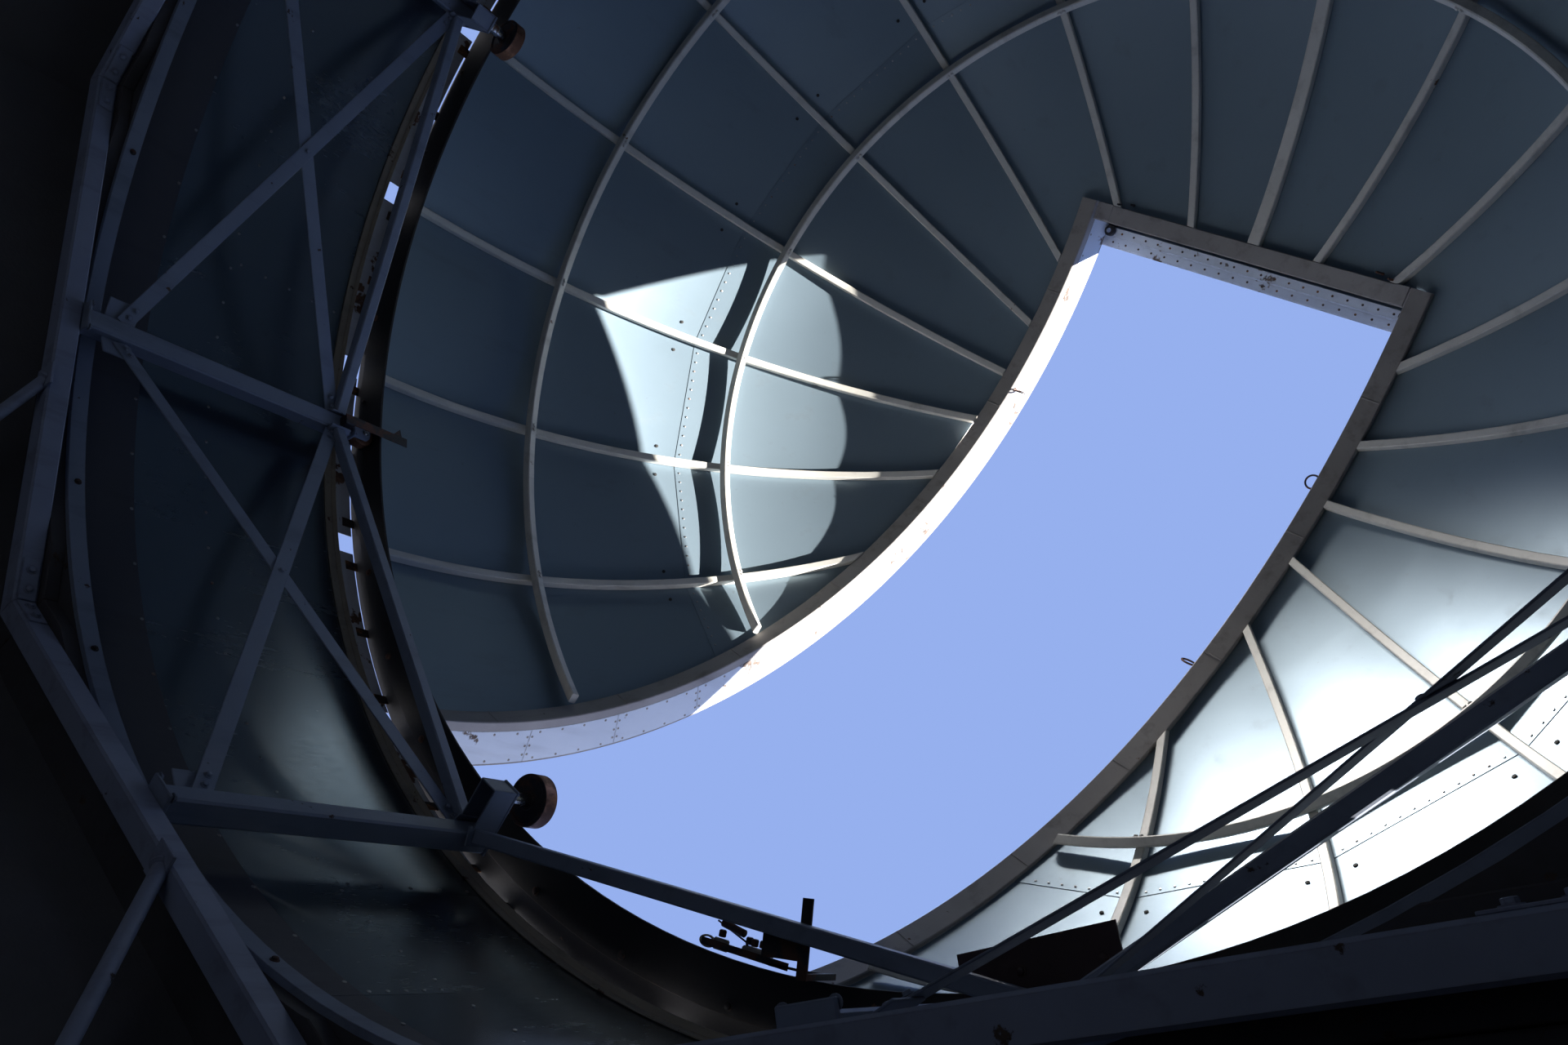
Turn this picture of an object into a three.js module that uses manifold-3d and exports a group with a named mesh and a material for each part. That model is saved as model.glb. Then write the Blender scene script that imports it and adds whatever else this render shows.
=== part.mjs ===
// Observatory dome on an octagonal building: millimetres, +Z up, the slit's foot towards -Y.
import * as THREE from 'three';
import { mergeVertices } from 'three/addons/utils/BufferGeometryUtils.js';
import Module from 'manifold-3d';

const wasm = await Module();
wasm.setup();

// Driving dimensions of the dome; heights called z are above the turning ring's underside
const GAP = 0.3;
const RING_Z = 4700;
const RIB_IN = 3000;
const SHEET_IN = 3050;
const SHEET_OUT = 3053;
const GORES = 20;
const GORE_ROWS = 17;
const STEPS = 80;
const RING_STEPS = 60;
const DRUM_STEPS = 40;
const RIB_HALF = 25;
const REAR_RIB_HALF = 40;
const HOOP_Z = [990, 1980];
const HOOP_IN = 2955;
const HOOP_SIZE = 45;

// Slit: the clear half width, the outer edge of its rim band, and the plane of its end frame
const SLIT_HALF = 900;
const RIM_HALF = 1000;
const COAMING_T = 8;
const RIM_RHO = 2835;
const RIM_TOP = 2885;
const RAIL_TOP = 3056;
const RAIL_T = 8;
const RAIL_OUT = 1010;
const END_ANGLE = 111.25;
const END_HALF = 50;
const END_PLANE_FOOT = 600;
const RAIL_END = 176;

// Turning ring, a Z section: lower plate, web and upper plate
const RING_IN = 2780;
const RING_MID = 2940;
const RING_OUT = 3060;
const RING_T = 12;
const RING_TOP = 72;
const FOOT_Z = RING_TOP + GAP;

// Fixed drum, its octagonal frame and the building under it
const SIDES = 8;
const DRUM_IN = 3000;
const DRUM_T = 3;
const DRUM_TOP = -90;
const DECK_TOP = -1275;
const DECK_T = 50;
const DECK_HOLE = 2960;
const BEAM_IN = 2830;
const BEAM_OUT = 2910;
const BEAM_H = 80;
const POST_R = 2850;
const POST = 80;
const POST_TOP = -130;
const PLATE_T = 12;
const CHORD = 50;
const CHORD_INSET = 10;
const CHORD_Z = -200;
const BRACE_W = 62;
const BRACE_T = 12;
const BRACE_FOOT = 125;
const OPEN_BAY = 5;
const BASE_PLATE = [58, 62];
const ANGLE_LEG = 60;
const TOP_ANGLE_LEGS = [30, 40];
const ANGLE_T = 6;

// Knee rod under the beam: where it starts and ends along the wall, its drop, and its pad on the wall
const KNEE_R = 22;
const KNEE_TOP_Y = -300;
const KNEE_FOOT_Y = -1080;
const KNEE_DROP = 500;
const PAD = 120;
const PAD_T = 12;

// Building
const WALL_IN = 3100;
const WALL_OUT = 3400;
const DOOR_W = 900;
const DOOR_H = 2000;
const FRAME_W = 50;
const FRAME_D = 120;
const LEAF_T = 45;
const FRAME_SETBACK = 40;
const LEAF_SETBACK = 100;
const LEAF_GAP = 3;
const HINGE_Z = [350, 1000, 1650];
const HINGE_H = 110;

// Rollers and wheels
const ROLLER_R = 95;
const ROLLER_H = 60;
const ROLLER_Z = 6;
const SHAFT_R = 15;
const SHAFT_ABOVE = 18;
const COLLAR_R = 26;
const SEAT_HALF = 45;
const WHEEL_R = 55;
const WHEEL_W = 50;
const AXLE_R = 12;
const CHEEK = { half: 40, t: 10, above: 30, clear: 5 };
const WHEEL_PLATE = [60, 50];

// Shutter sections: angles are measured from the front horizon over the zenith
const LOWER = { front: 109, span: 61, half: 943, rho: 3105, barIn: 3066, wheelX: 923, skirt: 3066 };
const UPPER = { front: 108, span: 61, half: 1018, rho: 3160, barIn: 3118, wheelX: 975, skirt: 3030 };
const SKIN = 3;
const BAR = 50;
const SHUTTER_WHEEL_R = 24;
const SHUTTER_WHEEL_W = 22;
const SIDE_ROLLER_R = 30;
const SIDE_ROLLER_RHO = 3035;
const PIN_R = 8;
const BAR_INSET = 0.1;
const WHEEL_ANGLES = [112.5, 139.5, 166.5];

const BIG = 9000;
const rad = THREE.MathUtils.degToRad;

// Materials, one for each finish of the real object
function finish(color, roughness, metalness) {
  return new THREE.MeshStandardMaterial({ color, roughness, metalness });
}
const MATERIALS = {
  sheet: finish(0x9fb0bd, 0.45, 0.8),
  ribPaint: finish(0xc9ccd0, 0.6, 0.1),
  rimPaint: finish(0x8f8a86, 0.7, 0.1),
  ringSteel: finish(0x2e2c2d, 0.7, 0.4),
  framePaint: finish(0x6d7c90, 0.6, 0.1),
  beamPaint: finish(0x54575d, 0.7, 0.1),
  galvanised: finish(0x7f8c96, 0.5, 0.7),
  tread: finish(0x8a4f35, 0.7, 0.4),
  masonry: finish(0xd9d5cb, 0.9, 0.0),
  deck: finish(0xb8b4ac, 0.85, 0.0),
  door: finish(0x5c6a73, 0.5, 0.2),
};

// Closed geometry to solid, and back
function solid(geometry) {
  const bare = geometry.clone();
  bare.deleteAttribute('normal');
  bare.deleteAttribute('uv');
  const merged = mergeVertices(bare, 1e-3);
  const mesh = new wasm.Mesh({
    numProp: 3,
    vertProperties: new Float32Array(merged.attributes.position.array),
    triVerts: new Uint32Array(merged.index.array),
  });
  mesh.merge();
  return new wasm.Manifold(mesh);
}

function geometryOf(body) {
  const mesh = body.getMesh();
  const geometry = new THREE.BufferGeometry();
  geometry.setAttribute('position', new THREE.BufferAttribute(new Float32Array(mesh.vertProperties), 3));
  geometry.setIndex(new THREE.BufferAttribute(new Uint32Array(mesh.triVerts), 1));
  geometry.computeVertexNormals();
  return geometry;
}

function join(bodies) {
  return bodies.reduce((all, body) => all.add(body));
}

// Box between two corners
function block(low, high) {
  const size = high.map((value, i) => value - low[i]);
  const centre = high.map((value, i) => (value + low[i]) / 2);
  return solid(new THREE.BoxGeometry(...size).translate(...centre));
}

// Prism of an outline of [u, v] points, extruded along +Z from z0 to z1
function prism(points, z0, z1) {
  const shape = new THREE.Shape(points.map(([u, v]) => new THREE.Vector2(u, v)));
  const geometry = new THREE.ExtrudeGeometry(shape, { depth: z1 - z0, bevelEnabled: false });
  return solid(geometry.translate(0, 0, z0));
}

// Prism of an outline in the Y-Z plane, from -half to +half in X
function prismX(points, half) {
  const shape = new THREE.Shape(points.map(([y, z]) => new THREE.Vector2(y, z)));
  const geometry = new THREE.ExtrudeGeometry(shape, { depth: 2 * half, bevelEnabled: false });
  geometry.translate(0, 0, -half);
  geometry.applyMatrix4(new THREE.Matrix4().makeBasis(
    new THREE.Vector3(0, 1, 0), new THREE.Vector3(0, 0, 1), new THREE.Vector3(1, 0, 0)));
  return solid(geometry);
}

// Ring about the Z axis from a closed section of [radius, z] points
function ringZ(section, steps = STEPS) {
  const loop = [...section, section[0]].map(([r, z]) => new THREE.Vector2(r, z));
  return solid(new THREE.LatheGeometry(loop, steps).rotateX(Math.PI / 2));
}

// Ring about the X axis from a closed section of [x, radius] points
function ringX(section, steps = STEPS) {
  const loop = [...section, section[0]].map(([x, r]) => new THREE.Vector2(r, x));
  return solid(new THREE.LatheGeometry([...loop].reverse(), steps).rotateZ(-Math.PI / 2));
}

function box2(a0, a1, b0, b1) {
  return [[a0, b0], [a1, b0], [a1, b1], [a0, b1]];
}

// Point in the Y-Z plane at an angle from the front horizon over the zenith
function onArc(angle, rho) {
  return [-rho * Math.cos(rad(angle)), rho * Math.sin(rad(angle))];
}

// Slice of space between two angles about the X axis
function slice(from, to) {
  const count = Math.ceil((to - from) / 30);
  const rim = Array.from({ length: count + 1 }, (_, i) => onArc(from + ((to - from) * i) / count, BIG));
  return prismX([[0, 0], ...rim].reverse(), BIG);
}

// Everything in front of the end frame's back face, moved back by an amount
function inFrontOfEnd(moveBack, half) {
  const along = onArc(END_ANGLE, BIG);
  const [uy, uz] = onArc(END_ANGLE, 1);
  const back = [uz * (END_HALF + moveBack), -uy * (END_HALF + moveBack)];
  const top = [along[0] + back[0], along[1] + back[1]];
  const foot = [back[0] - uy * END_PLANE_FOOT, back[1] - uz * END_PLANE_FOOT];
  return prismX([foot, top, [-BIG, BIG], [-BIG, foot[1]]], half);
}

function turnZ(body, degrees) {
  return body.rotate([0, 0, degrees]);
}

function disc(radius, length, sides = 24) {
  return solid(new THREE.CylinderGeometry(radius, radius, length, sides).rotateX(Math.PI / 2));
}

// Shell: gores flat from rib to rib, bent only along the meridian
function goreSection(inner, outer) {
  const step = 360 / STEPS;
  const foot = (radius) => [Math.sqrt(radius ** 2 - FOOT_Z ** 2), FOOT_Z];
  const arc = (radius) => Array.from({ length: GORE_ROWS }, (_, i) => {
    const elevation = rad(step * (i + 1));
    return [radius * Math.cos(elevation), radius * Math.sin(elevation)];
  });
  return [foot(outer), ...arc(outer), ...arc(inner).reverse(), foot(inner)];
}

const slitCut = inFrontOfEnd(GAP, RIM_HALF + GAP);

function shell() {
  return ringZ(goreSection(SHEET_IN, SHEET_OUT), GORES).subtract(slitCut);
}

// Solid filled out to just above the shell, to seat what stands on it
function shellFill() {
  const outer = goreSection(SHEET_IN, SHEET_OUT + GAP).slice(0, GORE_ROWS + 1);
  return ringZ([[10, FOOT_Z], ...outer, [10, outer.at(-1)[1]]], GORES);
}

// A rib is a flat ring's quarter; its outer face clears the crease of the sheet
function rib(azimuth, half) {
  const outer = SHEET_IN - GAP - half * Math.tan(rad(180 / GORES));
  const quarter = ringX(box2(-half, half, RIB_IN, outer)).intersect(slice(90, 179));
  return turnZ(quarter, azimuth - 90);
}

function hoop(z) {
  const middle = Math.sqrt(((HOOP_IN + RIB_IN + 4) / 2) ** 2 - z ** 2);
  const half = HOOP_SIZE / 2;
  return ringZ(box2(middle - half, middle + half, z - half, z + half), 2 * GORES);
}

function ribCage() {
  const sideRibs = [1, 2, 3, 4, 5, 6, 7, 8].flatMap((k) => [
    rib(90 + (360 / GORES) * k, RIB_HALF),
    rib(90 - (360 / GORES) * k, RIB_HALF),
  ]);
  const cage = join([rib(90, REAR_RIB_HALF), ...sideRibs, ...HOOP_Z.map(hoop)]);
  const standing = block([-BIG, -BIG, FOOT_Z], [BIG, BIG, BIG]);
  return cage.intersect(standing).subtract(slitCut);
}

// Slit arch on the +X side: rim band, coaming and outward rail, the last two running on over the shell
function slitArch(fill) {
  const inner = SLIT_HALF;
  const wall = SLIT_HALF + COAMING_T;
  const railFoot = RAIL_TOP - RAIL_T;
  const front = [
    [inner, RIM_RHO], [RIM_HALF, RIM_RHO], [RIM_HALF, RIM_TOP], [wall, RIM_TOP],
    [wall, railFoot], [RAIL_OUT, railFoot], [RAIL_OUT, RAIL_TOP], [inner, RAIL_TOP],
  ];
  const rear = [
    [inner, RIM_RHO], [wall, RIM_RHO], [wall, railFoot],
    [RAIL_OUT, railFoot], [RAIL_OUT, RAIL_TOP], [inner, RAIL_TOP],
  ];
  const standing = block([0, -BIG, FOOT_Z], [BIG, BIG, BIG]);
  const arch = ringX(front).intersect(inFrontOfEnd(0, BIG)).intersect(slice(0, 150)).intersect(standing);
  const run = ringX(rear).intersect(slice(END_ANGLE, RAIL_END)).subtract(fill);
  return arch.add(run);
}

// End frame across the slit: an arched band, and a coaming plate with a straight top
function endFrame() {
  const half = SLIT_HALF - GAP;
  const outer = SHEET_IN - GAP - RIB_HALF * Math.tan(rad(180 / GORES));
  const band = ringZ(box2(RIB_IN, outer, -END_HALF, END_HALF));
  const foot = Math.sqrt(RIB_IN ** 2 - half ** 2);
  const arcPoints = Array.from({ length: 9 }, (_, i) => {
    const x = half - (2 * half * i) / 8;
    return [x, -Math.sqrt((RIB_IN + 2) ** 2 - x ** 2)];
  });
  const plate = prism([[-half, -RAIL_TOP], [half, -RAIL_TOP], ...arcPoints], -END_HALF, COAMING_T - END_HALF);
  const kept = block([-half, -BIG, -BIG], [half, -foot + 60, BIG]);
  return band.intersect(kept).add(plate).rotate([-END_ANGLE, 0, 0]);
}

// Turning base ring
function baseRing() {
  const web = RING_MID - RING_T;
  return ringZ([
    [RING_IN, 0], [RING_MID, 0], [RING_MID, RING_TOP - RING_T], [RING_OUT, RING_TOP - RING_T],
    [RING_OUT, RING_TOP], [web, RING_TOP], [web, RING_T], [RING_IN, RING_T],
  ], RING_STEPS);
}

// Shutter section: curved skin with side plates, cross bars and running wheels
function shutter(section) {
  const { front, span, half, rho, barIn, wheelX, skirt } = section;
  const bar = THREE.MathUtils.radToDeg(BAR / rho);
  const channel = ringX([
    [-half, skirt], [SKIN - half, skirt], [SKIN - half, rho], [half - SKIN, rho],
    [half - SKIN, skirt], [half, skirt], [half, rho + SKIN], [-half, rho + SKIN],
  ]).intersect(slice(front, front + span));
  const barAngles = [BAR_INSET, span / 3, (2 * span) / 3, span - bar - BAR_INSET].map((angle) => front + angle);
  const bars = barAngles.map((angle) => ringX(box2(1 - half, half - 1, barIn, rho + 1))
    .intersect(slice(angle, angle + bar)));
  const wheels = WHEEL_ANGLES.flatMap((angle) => [-1, 1].flatMap((side) => {
    const [y, z] = onArc(angle, RAIL_TOP + GAP + SHUTTER_WHEEL_R);
    const wheel = disc(SHUTTER_WHEEL_R, SHUTTER_WHEEL_W, 16).rotate([0, 90, 0])
      .translate([side * wheelX, y, z]);
    const pinEnd = half - 1;
    const pin = disc(PIN_R, pinEnd - wheelX, 6).rotate([0, 90, 0])
      .translate([(side * (pinEnd + wheelX)) / 2, y, z]);
    return [wheel, pin];
  }));
  return join([channel, ...bars, ...wheels]);
}

// Side rollers under the lower section's leading bar, which run along the coaming's inner face
function sideRollers() {
  const angle = LOWER.front + BAR_INSET + THREE.MathUtils.radToDeg(BAR / LOWER.rho) / 2;
  const stemTop = LOWER.barIn + 16;
  return join([-1, 1].flatMap((side) => {
    const x = side * (SLIT_HALF - SIDE_ROLLER_R - 2);
    const roller = disc(SIDE_ROLLER_R, 30, 14).translate([x, 0, SIDE_ROLLER_RHO]);
    const stem = disc(10, stemTop - SIDE_ROLLER_RHO, 6).translate([x, 0, (stemTop + SIDE_ROLLER_RHO) / 2]);
    return [roller, stem];
  })).rotate([90 - angle, 0, 0]);
}

// Octagon between an inner and an outer apothem; its sides face the posts
function octagon(apothem) {
  const radius = apothem / Math.cos(Math.PI / SIDES);
  return Array.from({ length: SIDES }, (_, i) => {
    const angle = ((i + 0.5) * 2 * Math.PI) / SIDES;
    return [radius * Math.cos(angle), radius * Math.sin(angle)];
  });
}

const BEAM_TOP = DECK_TOP - DECK_T - GAP;

function beamRing() {
  const outer = prism(octagon(BEAM_OUT), BEAM_TOP - BEAM_H, BEAM_TOP);
  const ring = outer.subtract(prism(octagon(BEAM_IN), BEAM_TOP - BEAM_H - 1, BEAM_TOP + 1));
  const sides = Array.from({ length: SIDES }, (_, i) => i).filter((i) => i !== OPEN_BAY);
  const knees = sides.map((i) => turnZ(kneeRod(), (360 / SIDES) * i));
  return ring.add(join(knees));
}

// Thin rod from the beam's underside down and out to the wall
function kneeRod() {
  const top = new THREE.Vector3(POST_R, KNEE_TOP_Y, BEAM_TOP - BEAM_H + 10);
  const foot = new THREE.Vector3(WALL_IN - 26, KNEE_FOOT_Y, BEAM_TOP - BEAM_H - KNEE_DROP);
  const along = foot.clone().sub(top);
  const rod = new THREE.CylinderGeometry(KNEE_R, KNEE_R, along.length(), 8);
  const turn = new THREE.Quaternion().setFromUnitVectors(new THREE.Vector3(0, 1, 0), along.clone().normalize());
  rod.applyQuaternion(turn).translate(...top.clone().add(foot).multiplyScalar(0.5).toArray());
  const half = PAD / 2;
  const pad = block([WALL_IN - PAD_T - GAP, foot.y - half, foot.z - half],
    [WALL_IN - GAP, foot.y + half, foot.z + half]);
  const clear = block([WALL_IN - GAP, -BIG, -BIG], [BIG, BIG, BIG]);
  return solid(rod).subtract(clear).add(pad);
}

function roofDeck() {
  const slab = prism(octagon(WALL_OUT), DECK_TOP - DECK_T, DECK_TOP);
  const hole = disc(DECK_HOLE, 4 * DECK_T, DRUM_STEPS).rotate([0, 0, 180 / DRUM_STEPS]);
  return slab.subtract(hole.translate([0, 0, DECK_TOP]));
}

function sillRing() {
  const foot = DECK_TOP + GAP;
  const outer = DRUM_IN - GAP;
  const inner = outer - ANGLE_LEG;
  return ringZ([
    [inner, foot], [outer, foot], [outer, foot + ANGLE_T], [inner + ANGLE_T, foot + ANGLE_T],
    [inner + ANGLE_T, foot + ANGLE_LEG], [inner, foot + ANGLE_LEG],
  ], DRUM_STEPS);
}

function drumTopRing() {
  const outer = DRUM_IN - GAP;
  const [wide, deep] = TOP_ANGLE_LEGS;
  return ringZ([
    [outer - wide, DRUM_TOP - ANGLE_T], [outer - ANGLE_T, DRUM_TOP - ANGLE_T], [outer - ANGLE_T, DRUM_TOP - deep],
    [outer, DRUM_TOP - deep], [outer, DRUM_TOP], [outer - wide, DRUM_TOP],
  ], DRUM_STEPS);
}

function drumWall() {
  return ringZ(box2(DRUM_IN, DRUM_IN + DRUM_T, DECK_TOP + GAP, DRUM_TOP), DRUM_STEPS);
}

// Quarter of a body, by the signs of X and Y
function quarter(body, sx, sy) {
  const half = GAP / 2;
  const x = [sx * half, sx * BIG].sort((a, b) => a - b);
  const y = [sy * half, sy * BIG].sort((a, b) => a - b);
  return body.intersect(block([x[0], y[0], -BIG], [x[1], y[1], BIG]));
}

// Drum frame bay with its post at azimuth 0: post, base plate, chord and, in all bays but one, crossed braces
function postBody(grow = 0) {
  const half = POST / 2 + grow;
  return block([POST_R - half, -half, BEAM_TOP + GAP], [POST_R + half, half, POST_TOP]);
}

function bayBar(lowZ, highZ, width, depth, inset = 0) {
  const bayAngle = Math.PI / SIDES;
  const apothem = POST_R * Math.cos(bayAngle) - inset;
  const halfBay = POST_R * Math.sin(bayAngle);
  const rise = highZ - lowZ;
  const length = Math.hypot(2 * halfBay, rise);
  const bar = solid(new THREE.BoxGeometry(depth, length, width));
  const tilt = THREE.MathUtils.radToDeg(Math.atan2(rise, 2 * halfBay));
  return bar.rotate([tilt, 0, 0]).translate([apothem, 0, (lowZ + highZ) / 2]).rotate([0, 0, 180 / SIDES]);
}

function bay(topPiece, braced = true) {
  const footZ = BEAM_TOP + GAP + BRACE_FOOT;
  const [plateX, plateY] = BASE_PLATE;
  const chord = bayBar(CHORD_Z, CHORD_Z, CHORD, CHORD, CHORD_INSET);
  const braces = [bayBar(footZ, CHORD_Z, BRACE_W, BRACE_T), bayBar(CHORD_Z, footZ, BRACE_W, BRACE_T)];
  const basePlate = block([POST_R - plateX, -plateY, BEAM_TOP + GAP],
    [POST_R + plateX, plateY, BEAM_TOP + GAP + PLATE_T]);
  const ownSide = block([-BIG, 0, BEAM_TOP + GAP], [BIG, BIG, POST_TOP]);
  const web = join(braced ? [chord, ...braces] : [chord]).intersect(ownSide);
  const next = turnZ(join([postBody(GAP), basePlate]), 360 / SIDES);
  const after = turnZ(block([0, 0, -BIG], [BIG, BIG, BIG]), 360 / SIDES);
  return join([postBody(), basePlate, web.subtract(next).subtract(after), topPiece]);
}

const ROLLER_AXIS = RING_IN * Math.cos(Math.PI / RING_STEPS) - GAP - ROLLER_R;

// Post top with the guide roller's plate, collar and shaft
function rollerSeat() {
  const top = POST_TOP + PLATE_T;
  const collarTop = ROLLER_Z - ROLLER_H / 2 - GAP;
  const plate = block([ROLLER_AXIS - SEAT_HALF, -SEAT_HALF, POST_TOP - 1], [POST_R + SEAT_HALF, SEAT_HALF, top]);
  const collar = disc(COLLAR_R, collarTop - top + 1, 16).translate([ROLLER_AXIS, 0, (collarTop + top - 1) / 2]);
  const shaftTop = ROLLER_Z + ROLLER_H / 2 + SHAFT_ABOVE;
  const shaft = disc(SHAFT_R, shaftTop - top, 16).translate([ROLLER_AXIS, 0, (shaftTop + top) / 2]);
  return join([plate, collar, shaft]);
}

function guideRoller() {
  const half = ROLLER_H / 2;
  return ringZ(box2(SHAFT_R + GAP, ROLLER_R, -half, half), 24).translate([ROLLER_AXIS, 0, ROLLER_Z]);
}

// Post top with the support wheel's cheeks
const WHEEL_Z = -GAP - WHEEL_R;

function wheelSeat() {
  const top = POST_TOP + PLATE_T;
  const [plateX, plateY] = WHEEL_PLATE;
  const plate = block([POST_R - plateX, -plateY, POST_TOP - 1], [POST_R + plateX, plateY, top]);
  const cheek = (x) => block([x, -CHEEK.half, top - 1], [x + CHEEK.t, CHEEK.half, WHEEL_Z + CHEEK.above]);
  const near = POST_R - WHEEL_W / 2 - CHEEK.clear - CHEEK.t;
  const far = POST_R + WHEEL_W / 2 + CHEEK.clear;
  const bore = disc(AXLE_R + GAP, 200, 16).rotate([0, 90, 0]).translate([POST_R, 0, WHEEL_Z]);
  return join([plate, cheek(near), cheek(far)]).subtract(bore);
}

function supportWheel() {
  const axle = disc(AXLE_R, WHEEL_W + 44, 12);
  return disc(WHEEL_R, WHEEL_W, 24).add(axle).rotate([0, 90, 0]).translate([POST_R, 0, WHEEL_Z]);
}

// Masonry: one side of the octagon with mitred ends, drawn facing +X
const GROUND = -RING_Z;
const WALL_TOP = BEAM_TOP;

function wallSide(count) {
  const slope = Math.tan(Math.PI / SIDES);
  const side = prism([[WALL_IN, -WALL_IN * slope], [WALL_OUT, -WALL_OUT * slope],
    [WALL_OUT, WALL_OUT * slope], [WALL_IN, WALL_IN * slope]], GROUND, WALL_TOP);
  const sides = Array.from({ length: count }, (_, i) => turnZ(side, (360 / SIDES) * i));
  const edge = 180 / SIDES;
  const first = turnZ(block([0, -BIG, -BIG], [BIG, GAP / 2, BIG]), -edge);
  const last = turnZ(block([0, -GAP / 2, -BIG], [BIG, BIG, BIG]), edge + (360 / SIDES) * (count - 1));
  return join(sides).subtract(first).subtract(last);
}

function doorWall() {
  return turnZ(wallSide(1), 90);
}

function doorFrame() {
  const half = DOOR_W / 2 - GAP;
  const outer = block([-half, WALL_OUT - FRAME_D - FRAME_SETBACK, GROUND],
    [half, WALL_OUT - FRAME_SETBACK, GROUND + DOOR_H - GAP]);
  const inner = block([-half + FRAME_W, WALL_IN, GROUND - 1],
    [half - FRAME_W, WALL_OUT + 1, GROUND + DOOR_H - GAP - FRAME_W]);
  return outer.subtract(inner);
}

function doorLeaf() {
  const half = DOOR_W / 2 - GAP - FRAME_W - LEAF_GAP;
  const y = WALL_OUT - LEAF_SETBACK;
  const leaf = block([-half, y, GROUND + 8], [half, y + LEAF_T, GROUND + DOOR_H - GAP - FRAME_W - LEAF_GAP]);
  const hinges = HINGE_Z.map((z) => block([-half - LEAF_GAP + GAP, y + LEAF_T - 20, GROUND + z],
    [-half + 20, y + LEAF_T + 12, GROUND + z + HINGE_H]));
  return join([leaf, ...hinges]);
}

// The assembly
const part = new THREE.Group();

function add(name, body, material) {
  const mesh = new THREE.Mesh(geometryOf(body), MATERIALS[material]);
  mesh.name = name;
  mesh.position.z = RING_Z;
  part.add(mesh);
}

const mirrorX = (body) => body.mirror([1, 0, 0]);

// Building
const cutDoor = doorWall();
const beside = (sx) => cutDoor.intersect(block(
  [sx < 0 ? -BIG : DOOR_W / 2, 0, -BIG], [sx < 0 ? -DOOR_W / 2 : BIG, BIG, BIG]));
add('wall_front', turnZ(wallSide(1), 270), 'masonry');
add('wall_left', turnZ(wallSide(3), 135), 'masonry');
add('wall_right', turnZ(wallSide(3), -45), 'masonry');
add('door_wall_left', beside(-1), 'masonry');
add('door_wall_right', beside(1), 'masonry');
const overDoor = block([-DOOR_W / 2 + GAP, 0, GROUND + DOOR_H], [DOOR_W / 2 - GAP, BIG, BIG]);
add('door_lintel', cutDoor.intersect(overDoor), 'masonry');
add('door_frame', doorFrame(), 'framePaint');
add('door_leaf', doorLeaf(), 'door');
add('roof_deck', roofDeck(), 'deck');
add('octagon_beam', beamRing(), 'beamPaint');

// Drum
add('drum_sill_ring', sillRing(), 'framePaint');
add('drum_top_ring', drumTopRing(), 'galvanised');
const QUARTERS = [['rear_right', 1, 1], ['rear_left', -1, 1], ['front_left', -1, -1], ['front_right', 1, -1]];
const drum = drumWall();
for (const [place, sx, sy] of QUARTERS) {
  add(`drum_wall_${place}`, quarter(drum, sx, sy), 'galvanised');
}
const rollerBay = bay(rollerSeat());
const wheelBay = bay(wheelSeat());
const openBay = bay(wheelSeat(), false);
for (let i = 0; i < SIDES; i += 1) {
  const braced = i % 2 ? wheelBay : rollerBay;
  add(`drum_frame_${i + 1}`, turnZ(i === OPEN_BAY ? openBay : braced, (360 / SIDES) * i), 'framePaint');
}
for (let i = 0; i < SIDES / 2; i += 1) {
  add(`guide_roller_${i + 1}`, turnZ(guideRoller(), 90 * i), 'tread');
  add(`support_wheel_${i + 1}`, turnZ(supportWheel(), 90 * i + 45), 'tread');
}

// Dome
add('base_ring', baseRing(), 'ringSteel');
const sheet = shell();
for (const [place, sx, sy] of QUARTERS) {
  add(`shell_${place}`, quarter(sheet, sx, sy), 'sheet');
}
const cage = ribCage();
const split = REAR_RIB_HALF + GAP;
add('rib_cage_left', cage.intersect(block([-BIG, -BIG, -BIG], [REAR_RIB_HALF, BIG, BIG])), 'ribPaint');
add('rib_cage_right', cage.intersect(block([split, -BIG, -BIG], [BIG, BIG, BIG])), 'ribPaint');
const arch = slitArch(shellFill());
add('slit_arch_right', arch, 'rimPaint');
add('slit_arch_left', mirrorX(arch), 'rimPaint');
add('slit_end_frame', endFrame(), 'rimPaint');
add('lower_shutter', shutter(LOWER).add(sideRollers()), 'sheet');
add('upper_shutter', shutter(UPPER), 'sheet');

export default part;
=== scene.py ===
"""Observatory dome in metres, +Z up, with the foot of its slit towards -Y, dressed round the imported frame."""
import random
from math import asin, atan2, cos, degrees, hypot, pi, radians, sin, sqrt, tan

import bmesh
import bpy
from mathutils import Matrix, Vector


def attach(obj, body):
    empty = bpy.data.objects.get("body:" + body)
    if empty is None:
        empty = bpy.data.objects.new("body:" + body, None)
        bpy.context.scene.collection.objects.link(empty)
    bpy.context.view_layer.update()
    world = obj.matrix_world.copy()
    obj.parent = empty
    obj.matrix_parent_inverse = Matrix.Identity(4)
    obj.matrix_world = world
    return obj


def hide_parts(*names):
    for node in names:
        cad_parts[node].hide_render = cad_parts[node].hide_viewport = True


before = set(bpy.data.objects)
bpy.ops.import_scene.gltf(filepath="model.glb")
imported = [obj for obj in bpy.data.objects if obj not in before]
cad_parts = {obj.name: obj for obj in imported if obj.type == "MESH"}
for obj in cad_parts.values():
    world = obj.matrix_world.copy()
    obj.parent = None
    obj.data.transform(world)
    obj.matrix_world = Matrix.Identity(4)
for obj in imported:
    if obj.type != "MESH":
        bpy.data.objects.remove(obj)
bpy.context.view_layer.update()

# Clearance that keeps one piece out of the next
GAP = 0.0003

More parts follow.
